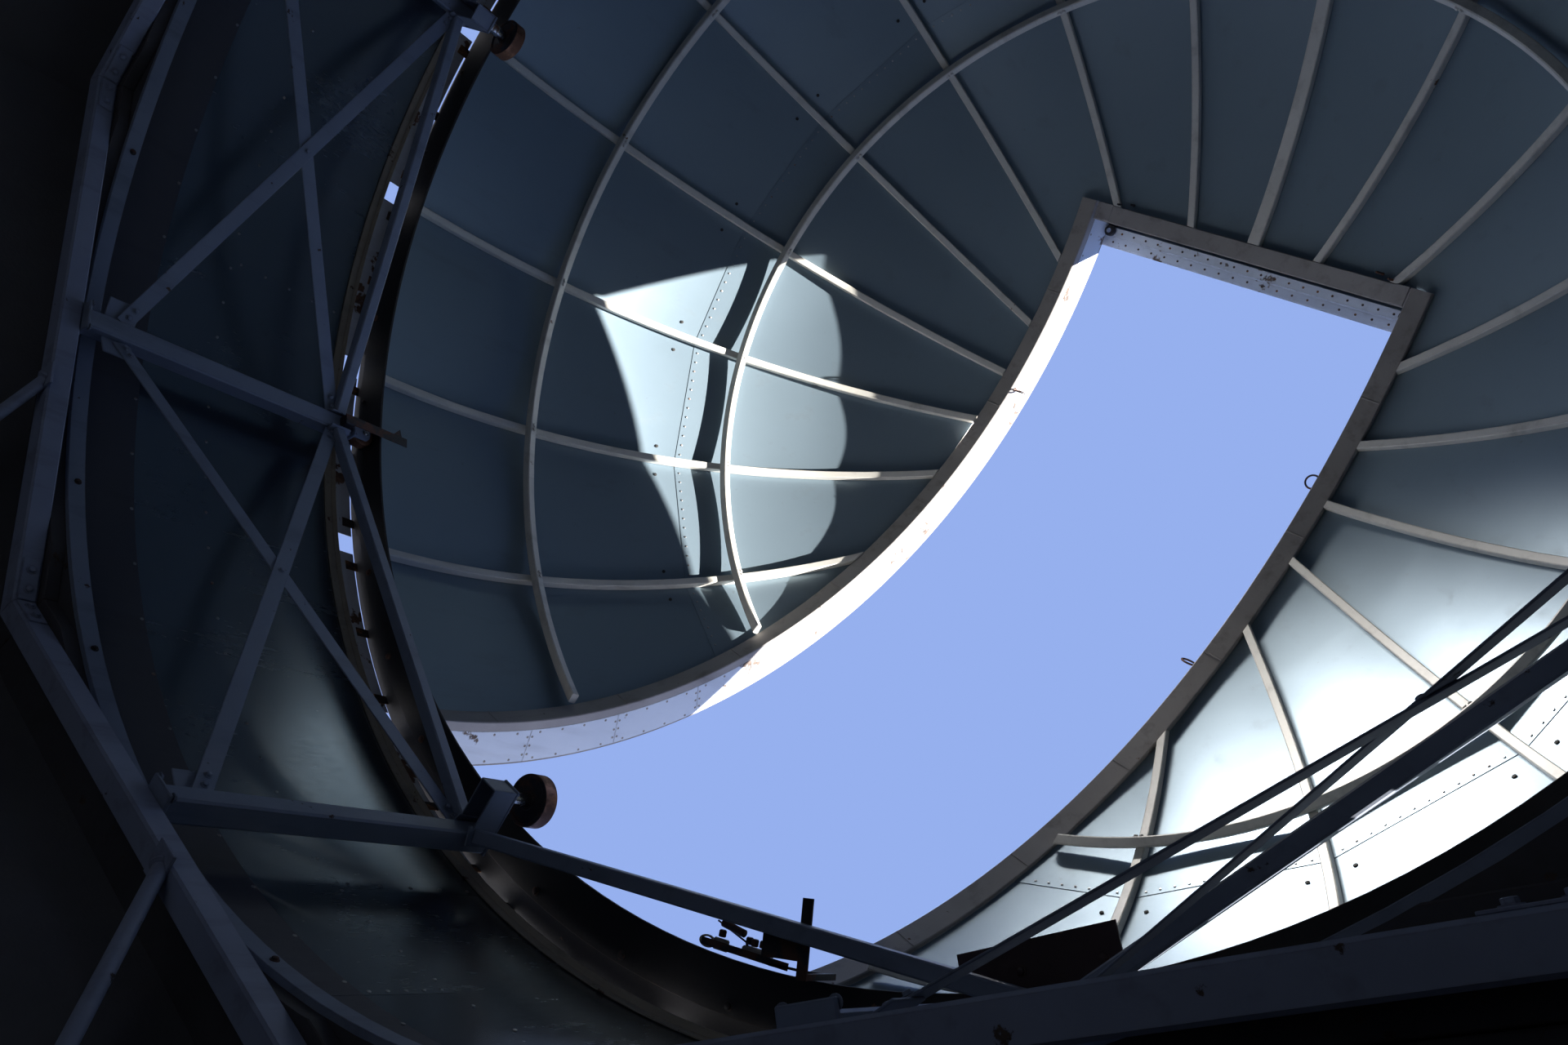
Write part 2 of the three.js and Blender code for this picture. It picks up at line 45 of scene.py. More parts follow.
# Heights of the building: the turning ring's underside, and the fixed levels under it
RING = 4.7
DECK_TOP = RING - 1.275
DECK_T = 0.050
DECK_FOOT = DECK_TOP - DECK_T
BEAM_TOP = DECK_FOOT - GAP
BEAM_H = 0.080
BEAM_IN = 2.830
BEAM_OUT = 2.910
POST_TOP = RING - 0.130
CHORD_Z = RING - 0.200
CHORD = 0.050
CHORD_INSET = 0.010

# Turning ring: a lower plate, a web and an upper plate
RING_IN = 2.780
RING_WEB = 2.940
RING_OUT = 3.060
RING_HIGH = 0.072
RING_PLATE = 0.012

# Dome: ribs, sheet and hoops
RIB_IN = 3.000
SHEET = 3.050
SHEET_T = 0.003
GORES = 20
GORE_DEGREES = 18
GORE = radians(GORE_DEGREES)
CREASE = tan(GORE / 2)
RIB_LINES = range(-8, 9)
FOOT = RING + RING_HIGH + GAP
RIB_HALF = 0.020
REAR_RIB_HALF = 0.034
BATTEN_HALF = 0.032
BATTEN_SEAT = SHEET + 0.0032
HOOPS = (0.990, 1.980)
HOOP = 0.045
HOOP_RHO = (2.955 + 3.004) / 2
LAP_Z = RING + 1.800

# Slit: angles run from the front horizon over the zenith
SLIT_HALF = 0.900
RIM_HALF = 1.000
COAMING_T = 0.008
RIM_RHO = 2.835
RIM_TOP = 2.885
RAIL_TOP = 3.056
RAIL_T = 0.008
RAIL_OUT = 1.010
RAIL_END = 176
END_ANGLE = 111.25
END_HALF = 0.050

# Fixed drum and its frame
DRUM_R = 3.000
SILL = 0.060
POST_R = 2.850
POST = 0.080
PLATE_T = 0.012
SIDES = 8
BAY = pi / 4
OPEN_BAY = 5
WALL_IN = 3.100
WALL_OUT = 3.400

UP = Vector((0, 0, 1))
ABOUT_RING = (0, 0, RING)
CENTRE = Vector(ABOUT_RING)
ALONG_X = (1, 0, 0)
ALONG_Y = (0, 1, 0)
WHOLE = 2 * pi


# The maker's tools

def only(*objs):
    bpy.ops.object.select_all(action="DESELECT")
    for obj in objs:
        obj.select_set(True)
    bpy.context.view_layer.objects.active = objs[0]


def settle(obj):
    """Puts the object at the origin with its place in its mesh."""
    only(obj)
    bpy.ops.object.transform_apply(location=True, rotation=True, scale=True)
    return obj


def named(obj, name):
    obj.name = obj.data.name = name
    return obj


def drawn(name, corners):
    """A filled outline, drawn corner by corner: one vertex, extruded along each side."""
    corners = [Vector(corner) for corner in corners]
    bpy.ops.object.select_all(action="DESELECT")
    bpy.ops.mesh.primitive_plane_add(size=0.01, location=corners[0])
    obj = named(bpy.context.object, name)
    bpy.ops.object.mode_set(mode="EDIT")
    bpy.ops.mesh.select_mode(type="VERT")
    bpy.ops.mesh.select_all(action="SELECT")
    bpy.ops.mesh.merge(type="CENTER")
    for here, there in zip(corners, corners[1:]):
        bpy.ops.mesh.extrude_vertices_move(TRANSFORM_OT_translate={"value": there - here})
    bpy.ops.mesh.select_all(action="SELECT")
    bpy.ops.mesh.edge_face_add()
    bpy.ops.object.mode_set(mode="OBJECT")
    return settle(obj)


def close_up(obj):
    """Merges doubles and turns every face outwards."""
    only(obj)
    bpy.ops.object.mode_set(mode="EDIT")
    bpy.ops.mesh.select_all(action="SELECT")
    bpy.ops.mesh.remove_doubles(threshold=1e-5)
    bpy.ops.mesh.delete_loose(use_verts=True, use_edges=True, use_faces=False)
    bpy.ops.mesh.select_all(action="SELECT")
    bpy.ops.mesh.normals_make_consistent(inside=False)
    bpy.ops.object.mode_set(mode="OBJECT")
    return obj


def spun(obj, steps, turn, centre=ABOUT_RING, axis=(0, 0, 1)):
    """Spins a section about an axis. A whole turn leaves no end faces."""
    only(obj)
    bpy.ops.object.mode_set(mode="EDIT")
    bpy.ops.mesh.select_all(action="SELECT")
    if turn > 0.999 * WHOLE:
        bpy.ops.mesh.delete(type="ONLY_FACE")
        bpy.ops.mesh.select_all(action="SELECT")
    bpy.ops.mesh.spin(steps=steps, angle=turn, center=centre, axis=axis, use_auto_merge=True)
    bpy.ops.object.mode_set(mode="OBJECT")
    return close_up(obj)


def pulled(obj, along):
    """Extrudes an outline into a bar."""
    only(obj)
    bpy.ops.object.mode_set(mode="EDIT")
    bpy.ops.mesh.select_all(action="SELECT")
    bpy.ops.mesh.extrude_region_move(TRANSFORM_OT_translate={"value": along})
    bpy.ops.object.mode_set(mode="OBJECT")
    return close_up(obj)


def pick(test, mode="FACE"):
    """In edit mode, selects the faces or the vertices that pass a test."""
    bpy.ops.mesh.select_mode(type=mode)
    bpy.ops.mesh.select_all(action="DESELECT")
    mesh = bpy.context.object.data
    form = bmesh.from_edit_mesh(mesh)
    for part in form.verts if mode == "VERT" else form.faces:
        if test(part):
            part.select_set(True)
    form.select_flush_mode()
    bmesh.update_edit_mesh(mesh)


def trimmed(obj, spot, normal, test=None):
    """Cuts away what lies on the normal's side of a plane, and closes the cut."""
    only(obj)
    bpy.ops.object.mode_set(mode="EDIT")
    if test:
        pick(test)
    else:
        bpy.ops.mesh.select_all(action="SELECT")
    bpy.ops.mesh.bisect(plane_co=spot, plane_no=normal, use_fill=True, clear_outer=True)
    bpy.ops.object.mode_set(mode="OBJECT")
    return obj


def bevelled(obj, width, segments=2, angle=30):
    """Rounds the sharp edges with an applied bevel."""
    only(obj)
    rounding = obj.modifiers.new("edges", "BEVEL")
    rounding.width = width
    rounding.segments = segments
    rounding.limit_method = "ANGLE"
    rounding.angle_limit = radians(angle)
    rounding.use_clamp_overlap = True
    bpy.ops.object.modifier_apply(modifier="edges")
    return obj


def thickened(obj, thickness, offset):
    """Gives a sheet its thickness; offset 1 adds it on the normals' side."""
    only(obj)
    wall = obj.modifiers.new("sheet", "SOLIDIFY")
    wall.thickness = thickness
    wall.offset = offset
    bpy.ops.object.modifier_apply(modifier="sheet")
    return obj


def shaded(obj, angle=35):
    only(obj)
    bpy.ops.object.shade_smooth_by_angle(angle=radians(angle))
    return obj


def copied(obj, matrix, name=None):
    """A copy with its own mesh, moved in its mesh."""
    new = obj.copy()
    new.data = obj.data.copy()
    new.data.transform(matrix)
    if matrix.determinant() < 0:
        new.data.flip_normals()
    bpy.context.collection.objects.link(new)
    if name:
        named(new, name)
    return new


def placed(obj, matrix):
    """Moves the object in its mesh."""
    obj.data.transform(matrix)
    return obj


def moved(obj, x, y, z):
    return placed(obj, Matrix.Translation((x, y, z)))


def joined(name, objs):
    objs = list(objs)
    only(*objs)
    if len(objs) > 1:
        bpy.ops.object.join()
    return named(objs[0], name)


def discard(*objs):
    for obj in objs:
        bpy.data.objects.remove(obj)


def about_z(angle):
    return Matrix.Rotation(angle, 4, "Z")


def outward(turn):
    """Level direction at an angle about the Z axis."""
    return Vector((cos(turn), sin(turn), 0))


def sideways(turn):
    """Level direction a quarter turn on from outward."""
    return Vector((-sin(turn), cos(turn), 0))


def on_arc(x, rho, theta):
    """Point at a slit angle in degrees and a distance from the X axis through the ring."""
    return Vector((x, -rho * cos(radians(theta)), RING + rho * sin(radians(theta))))


def arc_out(theta):
    """Direction from the ring's centre to a slit angle."""
    return on_arc(0, 1, theta) - CENTRE


def seat(spot, normal, along=None):
    """Matrix that stands a piece made round +Z at the origin on a spot, with its +Z along the normal."""
    z = Vector(normal).normalized()
    side = Vector(along) if along else (UP if abs(z.z) < 0.9 else Vector(ALONG_X))
    x = (side - z * side.dot(z)).normalized()
    y = z.cross(x)
    return Matrix.Translation(spot) @ Matrix((x, y, z)).transposed().to_4x4()


def box_outline(u, v, chamfer=0.0):
    """Corners of a rectangle between two limits in each direction, its corners cut off."""
    (u0, u1), (v0, v1) = u, v
    c = chamfer
    if not c:
        return [(u0, v0), (u1, v0), (u1, v1), (u0, v1)]
    return [(u0 + c, v0), (u1 - c, v0), (u1, v0 + c), (u1, v1 - c),
            (u1 - c, v1), (u0 + c, v1), (u0, v1 - c), (u0, v0 + c)]


def ring_of(name, outline, steps):
    """Whole ring about the Z axis from [radius, height above the ring level] corners."""
    return spun(drawn(name, [(r, 0, RING + z) for r, z in outline]), steps, WHOLE)


def arc_of(name, outline, start, end, steps):
    """Bar along the slit's arc from [x, rho] corners, between two slit angles."""
    base = drawn(name, [on_arc(x, rho, start) for x, rho in outline])
    return spun(base, steps, radians(end - start), axis=ALONG_X)


def plate(name, size, chamfer=0.002):
    """Flat plate about the origin with its edges rounded; size is its length along X, Y and Z."""
    bpy.ops.object.select_all(action="DESELECT")
    bpy.ops.mesh.primitive_cube_add(size=1)
    obj = named(bpy.context.object, name)
    obj.scale = size
    settle(obj)
    return bevelled(obj, chamfer, 1)


def lathed(name, outline, sides):
    """Turned piece about +Z at the origin, from its closed [radius, height] outline."""
    return spun(drawn(name, [(r, 0, z) for r, z in outline]), sides, WHOLE, centre=(0, 0, 0))


def turned(name, profile, sides):
    """Solid turned piece, from the [radius, height] points between its two poles."""
    return lathed(name, [(0, profile[0][1]), *profile, (0, profile[-1][1])], sides)


def both_ways(lower):
    """Turned piece's outline from its lower half, mirrored upwards."""
    return lower + [(r, -z) for r, z in reversed(lower)]


def bar_between(name, start, end, width, depth, face, chamfer=0.004):
    """Box bar from start to end; face is the direction that its depth points along."""
    start, end = Vector(start), Vector(end)
    along = (end - start).normalized()
    out = (Vector(face) - along * Vector(face).dot(along)).normalized()
    side = along.cross(out)
    corners = box_outline((-width / 2, width / 2), (-depth / 2, depth / 2), chamfer)
    base = drawn(name, [start + side * u + out * v for u, v in corners])
    return pulled(base, end - start)


# Fasteners, each modelled once and copied

def hex_bolt(name, radius, height):
    """Bolt head on a washer, standing on the origin, its top drawn in to a low crown."""
    washer_high = height * 0.25
    bpy.ops.object.select_all(action="DESELECT")
    bpy.ops.mesh.primitive_cylinder_add(vertices=14, radius=radius * 1.45, depth=washer_high,
                                        location=(0, 0, washer_high / 2))
    washer = settle(bpy.context.object)
    bpy.ops.object.select_all(action="DESELECT")
    bpy.ops.mesh.primitive_cylinder_add(vertices=6, radius=radius, depth=height, location=(0, 0, height / 2))
    head = settle(bpy.context.object)
    bpy.ops.object.mode_set(mode="EDIT")
    pick(lambda face: face.normal.z > 0.9)
    bpy.ops.mesh.inset(thickness=radius * 0.18)
    bpy.ops.transform.translate(value=(0, 0, height * 0.12))
    bpy.ops.object.mode_set(mode="OBJECT")
    return joined(name, [head, washer])


def rivet(name, radius):
    """Low round rivet head, its middle drawn up."""
    height = radius * 0.4
    bpy.ops.object.select_all(action="DESELECT")
    bpy.ops.mesh.primitive_cylinder_add(vertices=8, radius=radius, depth=height,
                                        location=(0, 0, height / 4), end_fill_type="TRIFAN")
    obj = settle(named(bpy.context.object, name))
    bpy.ops.object.mode_set(mode="EDIT")
    pick(lambda vert: vert.co.z > height / 2 and hypot(vert.co.x, vert.co.y) < radius * 0.1, "VERT")
    bpy.ops.transform.translate(value=(0, 0, radius * 0.35))
    bpy.ops.object.mode_set(mode="OBJECT")
    return obj


def scattered(name, base, seats):
    """Copies of one fastener on all its seats, as one piece."""
    return joined(name, [copied(base, place) for place in seats])


# Materials

def filled(tree, made, inputs):
    """Links each input that is a socket, and sets any other to its value."""
    for key, value in inputs.items():
        if isinstance(value, bpy.types.NodeSocket):
            tree.links.new(value, made.inputs[key])
        else:
            made.inputs[key].default_value = value
    return made


def add(tree, kind, inputs=None, **settings):
    """Adds a node with its settings and inputs."""
    made = tree.nodes.new("ShaderNode" + kind)
    for key, value in settings.items():
        setattr(made, key, value)
    return filled(tree, made, inputs or {})


def worked(tree, operation, first, second, clamp=False):
    """Result of a sum on two values or sockets."""
    return add(tree, "Math", {0: first, 1: second}, operation=operation, use_clamp=clamp).outputs[0]


def scaled(tree, value, factor):
    return worked(tree, "MULTIPLY", value, factor)


def summed(tree, first, second, clamp=False):
    return worked(tree, "ADD", first, second, clamp)


def lessened(tree, first, second):
    return worked(tree, "SUBTRACT", first, second)


def noise(tree, place, scale, detail, rough=0.5):
    inputs = {"Vector": place, "Scale": scale, "Detail": detail, "Roughness": rough}
    return add(tree, "TexNoise", inputs).outputs["Fac"]


def shader_group(name, inputs, outputs):
    """An empty node group with named sockets: (kind, name, value) in, (kind, name) out."""
    tree = bpy.data.node_groups.new(name, "ShaderNodeTree")
    for kind, label, value in inputs:
        socket = tree.interface.new_socket(label, in_out="INPUT", socket_type="NodeSocket" + kind)
        if value is not None:
            socket.default_value = value
    for kind, label in outputs:
        tree.interface.new_socket(label, in_out="OUTPUT", socket_type="NodeSocket" + kind)
    return tree, tree.nodes.new("NodeGroupInput"), tree.nodes.new("NodeGroupOutput")


def ramp(tree, value, low, high, out_low=0.0, out_high=1.0):
    return add(tree, "MapRange", {0: value, 1: low, 2: high, 3: out_low, 4: out_high}).outputs[0]


def patches_group():
    """Broken patches of a noise, for chips, rust and dirt: Spread 0 is none and 1 is everywhere."""
    tree, into, out = shader_group(
        "patches", [("Vector", "Place", None), ("Float", "Scale", 4.0), ("Float", "Spread", 0.4),
                    ("Float", "Softness", 0.06), ("Float", "Detail", 8.0)], [("Float", "Mask")])
    given = into.outputs
    cloud = noise(tree, given["Place"], given["Scale"], given["Detail"], 0.62)
    edge = lessened(tree, 0.78, given["Spread"])
    low = lessened(tree, edge, given["Softness"])
    high = summed(tree, edge, given["Softness"])
    tree.links.new(ramp(tree, cloud, low, high), out.inputs["Mask"])
    return tree


def edges_group():
    """Mask of the worn edges: where a rounded normal leaves the true one, broken up by a noise."""
    tree, into, out = shader_group(
        "worn edges", [("Vector", "Place", None), ("Float", "Radius", 0.006), ("Float", "Wear", 0.5),
                       ("Float", "Scale", 30.0)], [("Float", "Mask")])
    given = into.outputs
    soft = add(tree, "Bevel", {"Radius": given["Radius"]}, samples=3).outputs[0]
    true = add(tree, "NewGeometry").outputs["Normal"]
    same = add(tree, "VectorMath", {0: soft, 1: true}, operation="DOT_PRODUCT").outputs["Value"]
    away = ramp(tree, same, 1.0, 0.86)
    breakup = ramp(tree, noise(tree, given["Place"], given["Scale"], 6.0, 0.7), 0.35, 0.62)
    worn = worked(tree, "MULTIPLY", scaled(tree, away, breakup), given["Wear"], True)
    tree.links.new(worn, out.inputs["Mask"])
    return tree


def grain_group():
    """Fine grain that can be stretched: a value round 0.5 for roughness, and a height for bump."""
    tree, into, out = shader_group(
        "grain", [("Vector", "Place", None), ("Vector", "Stretch", (1, 1, 1)), ("Float", "Scale", 60.0)],
        [("Float", "Value"), ("Float", "Height")])
    given = into.outputs
    stretched = add(tree, "VectorMath", {0: given["Place"], 1: given["Stretch"]},
                    operation="MULTIPLY").outputs[0]
    coarse = noise(tree, stretched, given["Scale"], 4.0, 0.55)
    fine = noise(tree, stretched, scaled(tree, given["Scale"], 5.0), 2.0)
    tree.links.new(coarse, out.inputs["Value"])
    tree.links.new(summed(tree, coarse, scaled(tree, fine, 0.35)), out.inputs["Height"])
    return tree


def streaks_group():
    """Runs of dirt down a wall: a noise drawn out along Z."""
    tree, into, out = shader_group(
        "streaks", [("Vector", "Place", None), ("Float", "Across", 9.0), ("Float", "Down", 0.5),
                    ("Float", "Spread", 0.4)], [("Float", "Mask")])
    given = into.outputs
    stretch = add(tree, "CombineXYZ", {0: given["Across"], 1: given["Across"], 2: given["Down"]}).outputs[0]
    drawn_out = add(tree, "VectorMath", {0: given["Place"], 1: stretch}, operation="MULTIPLY").outputs[0]
    edge = lessened(tree, 0.75, given["Spread"])
    mask = ramp(tree, noise(tree, drawn_out, 1.0, 5.0, 0.6), edge, summed(tree, edge, 0.22))
    tree.links.new(mask, out.inputs["Mask"])
    return tree


PATCHES = patches_group()
EDGES = edges_group()
GRAIN = grain_group()
STREAKS = streaks_group()


def use(tree, group, place, **inputs):
    """Places a group, with its inputs given by the names of their sockets."""
    made = tree.nodes.new("ShaderNodeGroup")
    made.node_tree = group
    return filled(tree, made, {"Place": place, **inputs})


def mask_of(tree, group, place, **inputs):
    return use(tree, group, place, **inputs).outputs["Mask"]


def mixed(tree, mask, first, second):
    """Colour mix; first and second are colours or sockets."""
    made = add(tree, "Mix", data_type="RGBA")
    for socket, value in ((made.inputs[6], first), (made.inputs[7], second)):
        if isinstance(value, bpy.types.NodeSocket):
            tree.links.new(value, socket)
        else:
            socket.default_value = (*value, 1.0)
    tree.links.new(mask, made.inputs[0])
    return made.outputs[2]


def deepened(colour, factor):
    return tuple(channel * factor for channel in colour)


def blank(name, metallic, roughness):
    """A material with its shader and object coordinates."""
    made = bpy.data.materials.new(name)
    made.use_nodes = True
    tree = made.node_tree
    shader = tree.nodes["Principled BSDF"]
    shader.inputs["Metallic"].default_value = metallic
    shader.inputs["Roughness"].default_value = roughness
    return made, tree, shader, add(tree, "TexCoord").outputs["Object"]


def bumped(tree, shader, height, distance, strength=1.0, under=None):
    """Bump on the shader, on top of another bump's normal if one is given."""
    inputs = {"Height": height, "Distance": distance, "Strength": strength}
    if under:
        inputs["Normal"] = under
    made = add(tree, "Bump", inputs).outputs[0]
    tree.links.new(made, shader.inputs["Normal"])
    return made


def sheet_finish(name, light, dark, rough, dirt, metallic=0.5, grain=160.0, specks=0.3):
    """Bare sheet metal: panel tones, soft clouding, stains that run down, fine grain and a slight ripple."""
    made, tree, shader, place = blank(name, metallic, rough)
    tone = add(tree, "Attribute", attribute_name="tone").outputs["Fac"]
    cloud = mask_of(tree, PATCHES, place, Scale=1.7, Spread=0.3, Softness=0.16)
    stain = mask_of(tree, STREAKS, place, Across=7.0, Down=0.7, Spread=0.16)
    marks = mask_of(tree, PATCHES, place, Scale=24.0, Spread=0.08, Softness=0.03)
    base = mixed(tree, tone, dark, light)
    base = mixed(tree, scaled(tree, cloud, 0.20), base, dark)
    base = mixed(tree, scaled(tree, stain, 0.25), base, dirt)
    base = mixed(tree, scaled(tree, marks, specks), base, dirt)
    tree.links.new(base, shader.inputs["Base Color"])
    fine = use(tree, GRAIN, place, Stretch=(1.0, 1.0, 0.25), Scale=grain)
    roughness = summed(tree, scaled(tree, fine.outputs["Value"], 0.12), rough - 0.06)
    roughness = summed(tree, roughness, scaled(tree, stain, 0.08))
    roughness = summed(tree, roughness, scaled(tree, cloud, 0.05), True)
    tree.links.new(roughness, shader.inputs["Roughness"])
    ripple = bumped(tree, shader, noise(tree, place, 1.6, 1.0, 0.3), 0.006)
    bumped(tree, shader, fine.outputs["Height"], 0.0003, 0.35, ripple)
    return made


GRIME = (0.05, 0.04, 0.035)
BARE_ROUGH = 0.85


def paint_finish(name, colour, shade, rough, chip, wear=0.6, spread=0.14, dirt=0.3, scale=7.0):
    """Brushed paint on steel: uneven coat, dirt, chips and worn edges that show rust or primer."""
    made, tree, shader, place = blank(name, 0.0, rough)
    cloud = mask_of(tree, PATCHES, place, Scale=2.6, Spread=0.28, Softness=0.2)
    grime = mask_of(tree, STREAKS, place, Across=11.0, Down=1.6, Spread=0.22)
    chips = mask_of(tree, PATCHES, place, Scale=scale, Spread=spread, Softness=0.012)
    bare = summed(tree, chips, mask_of(tree, EDGES, place, Wear=wear), True)
    rust_tone = mask_of(tree, PATCHES, place, Scale=38.0, Spread=0.3, Softness=0.15)
    rust = mixed(tree, rust_tone, chip, deepened(chip, 0.45))
    base = mixed(tree, cloud, colour, shade)
    base = mixed(tree, scaled(tree, grime, dirt), base, GRIME)
    tree.links.new(mixed(tree, bare, base, rust), shader.inputs["Base Color"])
    fine = use(tree, GRAIN, place, Scale=70.0)
    coat = summed(tree, scaled(tree, fine.outputs["Value"], 0.18), rough - 0.09)
    bare_step = scaled(tree, bare, BARE_ROUGH - rough)
    tree.links.new(summed(tree, coat, bare_step, True), shader.inputs["Roughness"])
    depth = lessened(tree, scaled(tree, fine.outputs["Height"], 0.35), bare)
    bumped(tree, shader, depth, 0.0007, 0.7)
    return made


def steel_finish(name, colour, rough, rust, spread=0.2, metallic=0.9):
    """Machined or plated steel with some rust."""
    made, tree, shader, place = blank(name, metallic, rough)
    marks = mask_of(tree, PATCHES, place, Scale=14.0, Spread=spread, Softness=0.05)
    tone = mask_of(tree, PATCHES, place, Scale=60.0, Spread=0.3, Softness=0.15)
    clean = mixed(tree, tone, colour, deepened(colour, 0.7))
    tree.links.new(mixed(tree, marks, clean, rust), shader.inputs["Base Color"])
    fine = use(tree, GRAIN, place, Scale=120.0)
    roughness = summed(tree, scaled(tree, fine.outputs["Value"], 0.2), rough - 0.1)
    tree.links.new(summed(tree, roughness, scaled(tree, marks, 0.35), True), shader.inputs["Roughness"])
    tree.links.new(ramp(tree, marks, 0.0, 1.0, metallic, 0.1), shader.inputs["Metallic"])
    bumped(tree, shader, summed(tree, fine.outputs["Height"], marks), 0.0003, 0.6)
    return made


PLASTER = ((0.62, 0.59, 0.53), (0.50, 0.47, 0.42))
# Darker plaster for the faces turned inwards: painted shade inside the building
SHADED_INNER_PLASTER = ((0.16, 0.155, 0.16), (0.115, 0.11, 0.115))
RAIN = (0.27, 0.25, 0.22)
DAMP = (0.21, 0.20, 0.165)
CRACK = (0.12, 0.11, 0.10)


def masonry_finish():
    """Rendered wall: trowelled texture, hairline cracks, rain streaks and a damp foot, and painted shade on the
    inner faces.
    """
    made, tree, shader, place = blank("rendered masonry", 0.0, 0.9)
    cloud = mask_of(tree, PATCHES, place, Scale=1.1, Spread=0.3, Softness=0.2)
    base = mixed(tree, cloud, *PLASTER)
    rain = mask_of(tree, STREAKS, place, Across=5.0, Down=0.35, Spread=0.26)
    base = mixed(tree, scaled(tree, rain, 0.4), base, RAIN)
    height = add(tree, "SeparateXYZ", {0: place}).outputs["Z"]
    uneven = scaled(tree, noise(tree, place, 2.5, 4.0), 0.8)
    damp = ramp(tree, summed(tree, height, uneven), 0.75, 0.35)
    base = mixed(tree, scaled(tree, damp, 0.55), base, DAMP)
    # Faces turned in towards the middle take the darker plaster, as painted shade
    facing = add(tree, "VectorMath", {0: add(tree, "NewGeometry").outputs["Normal"], 1: place},
                 operation="DOT_PRODUCT").outputs["Value"]
    base = mixed(tree, ramp(tree, facing, 0.0, -0.2), base, mixed(tree, cloud, *SHADED_INNER_PLASTER))
    cracks = add(tree, "TexVoronoi", {"Vector": place, "Scale": 1.3}, feature="DISTANCE_TO_EDGE")
    crack = ramp(tree, cracks.outputs["Distance"], 0.006, 0.0)
    where = mask_of(tree, PATCHES, place, Scale=0.9, Spread=0.24, Softness=0.05)
    line = scaled(tree, crack, where)
    base = mixed(tree, scaled(tree, line, 0.7), base, CRACK)
    tree.links.new(base, shader.inputs["Base Color"])
    trowel = use(tree, GRAIN, place, Scale=14.0).outputs["Height"]
    sand = use(tree, GRAIN, place, Scale=130.0).outputs["Height"]
    trowelled = bumped(tree, shader, trowel, 0.006, 0.7)
    bumped(tree, shader, lessened(tree, scaled(tree, sand, 0.6), line), 0.0015, 0.8, trowelled)
    return made


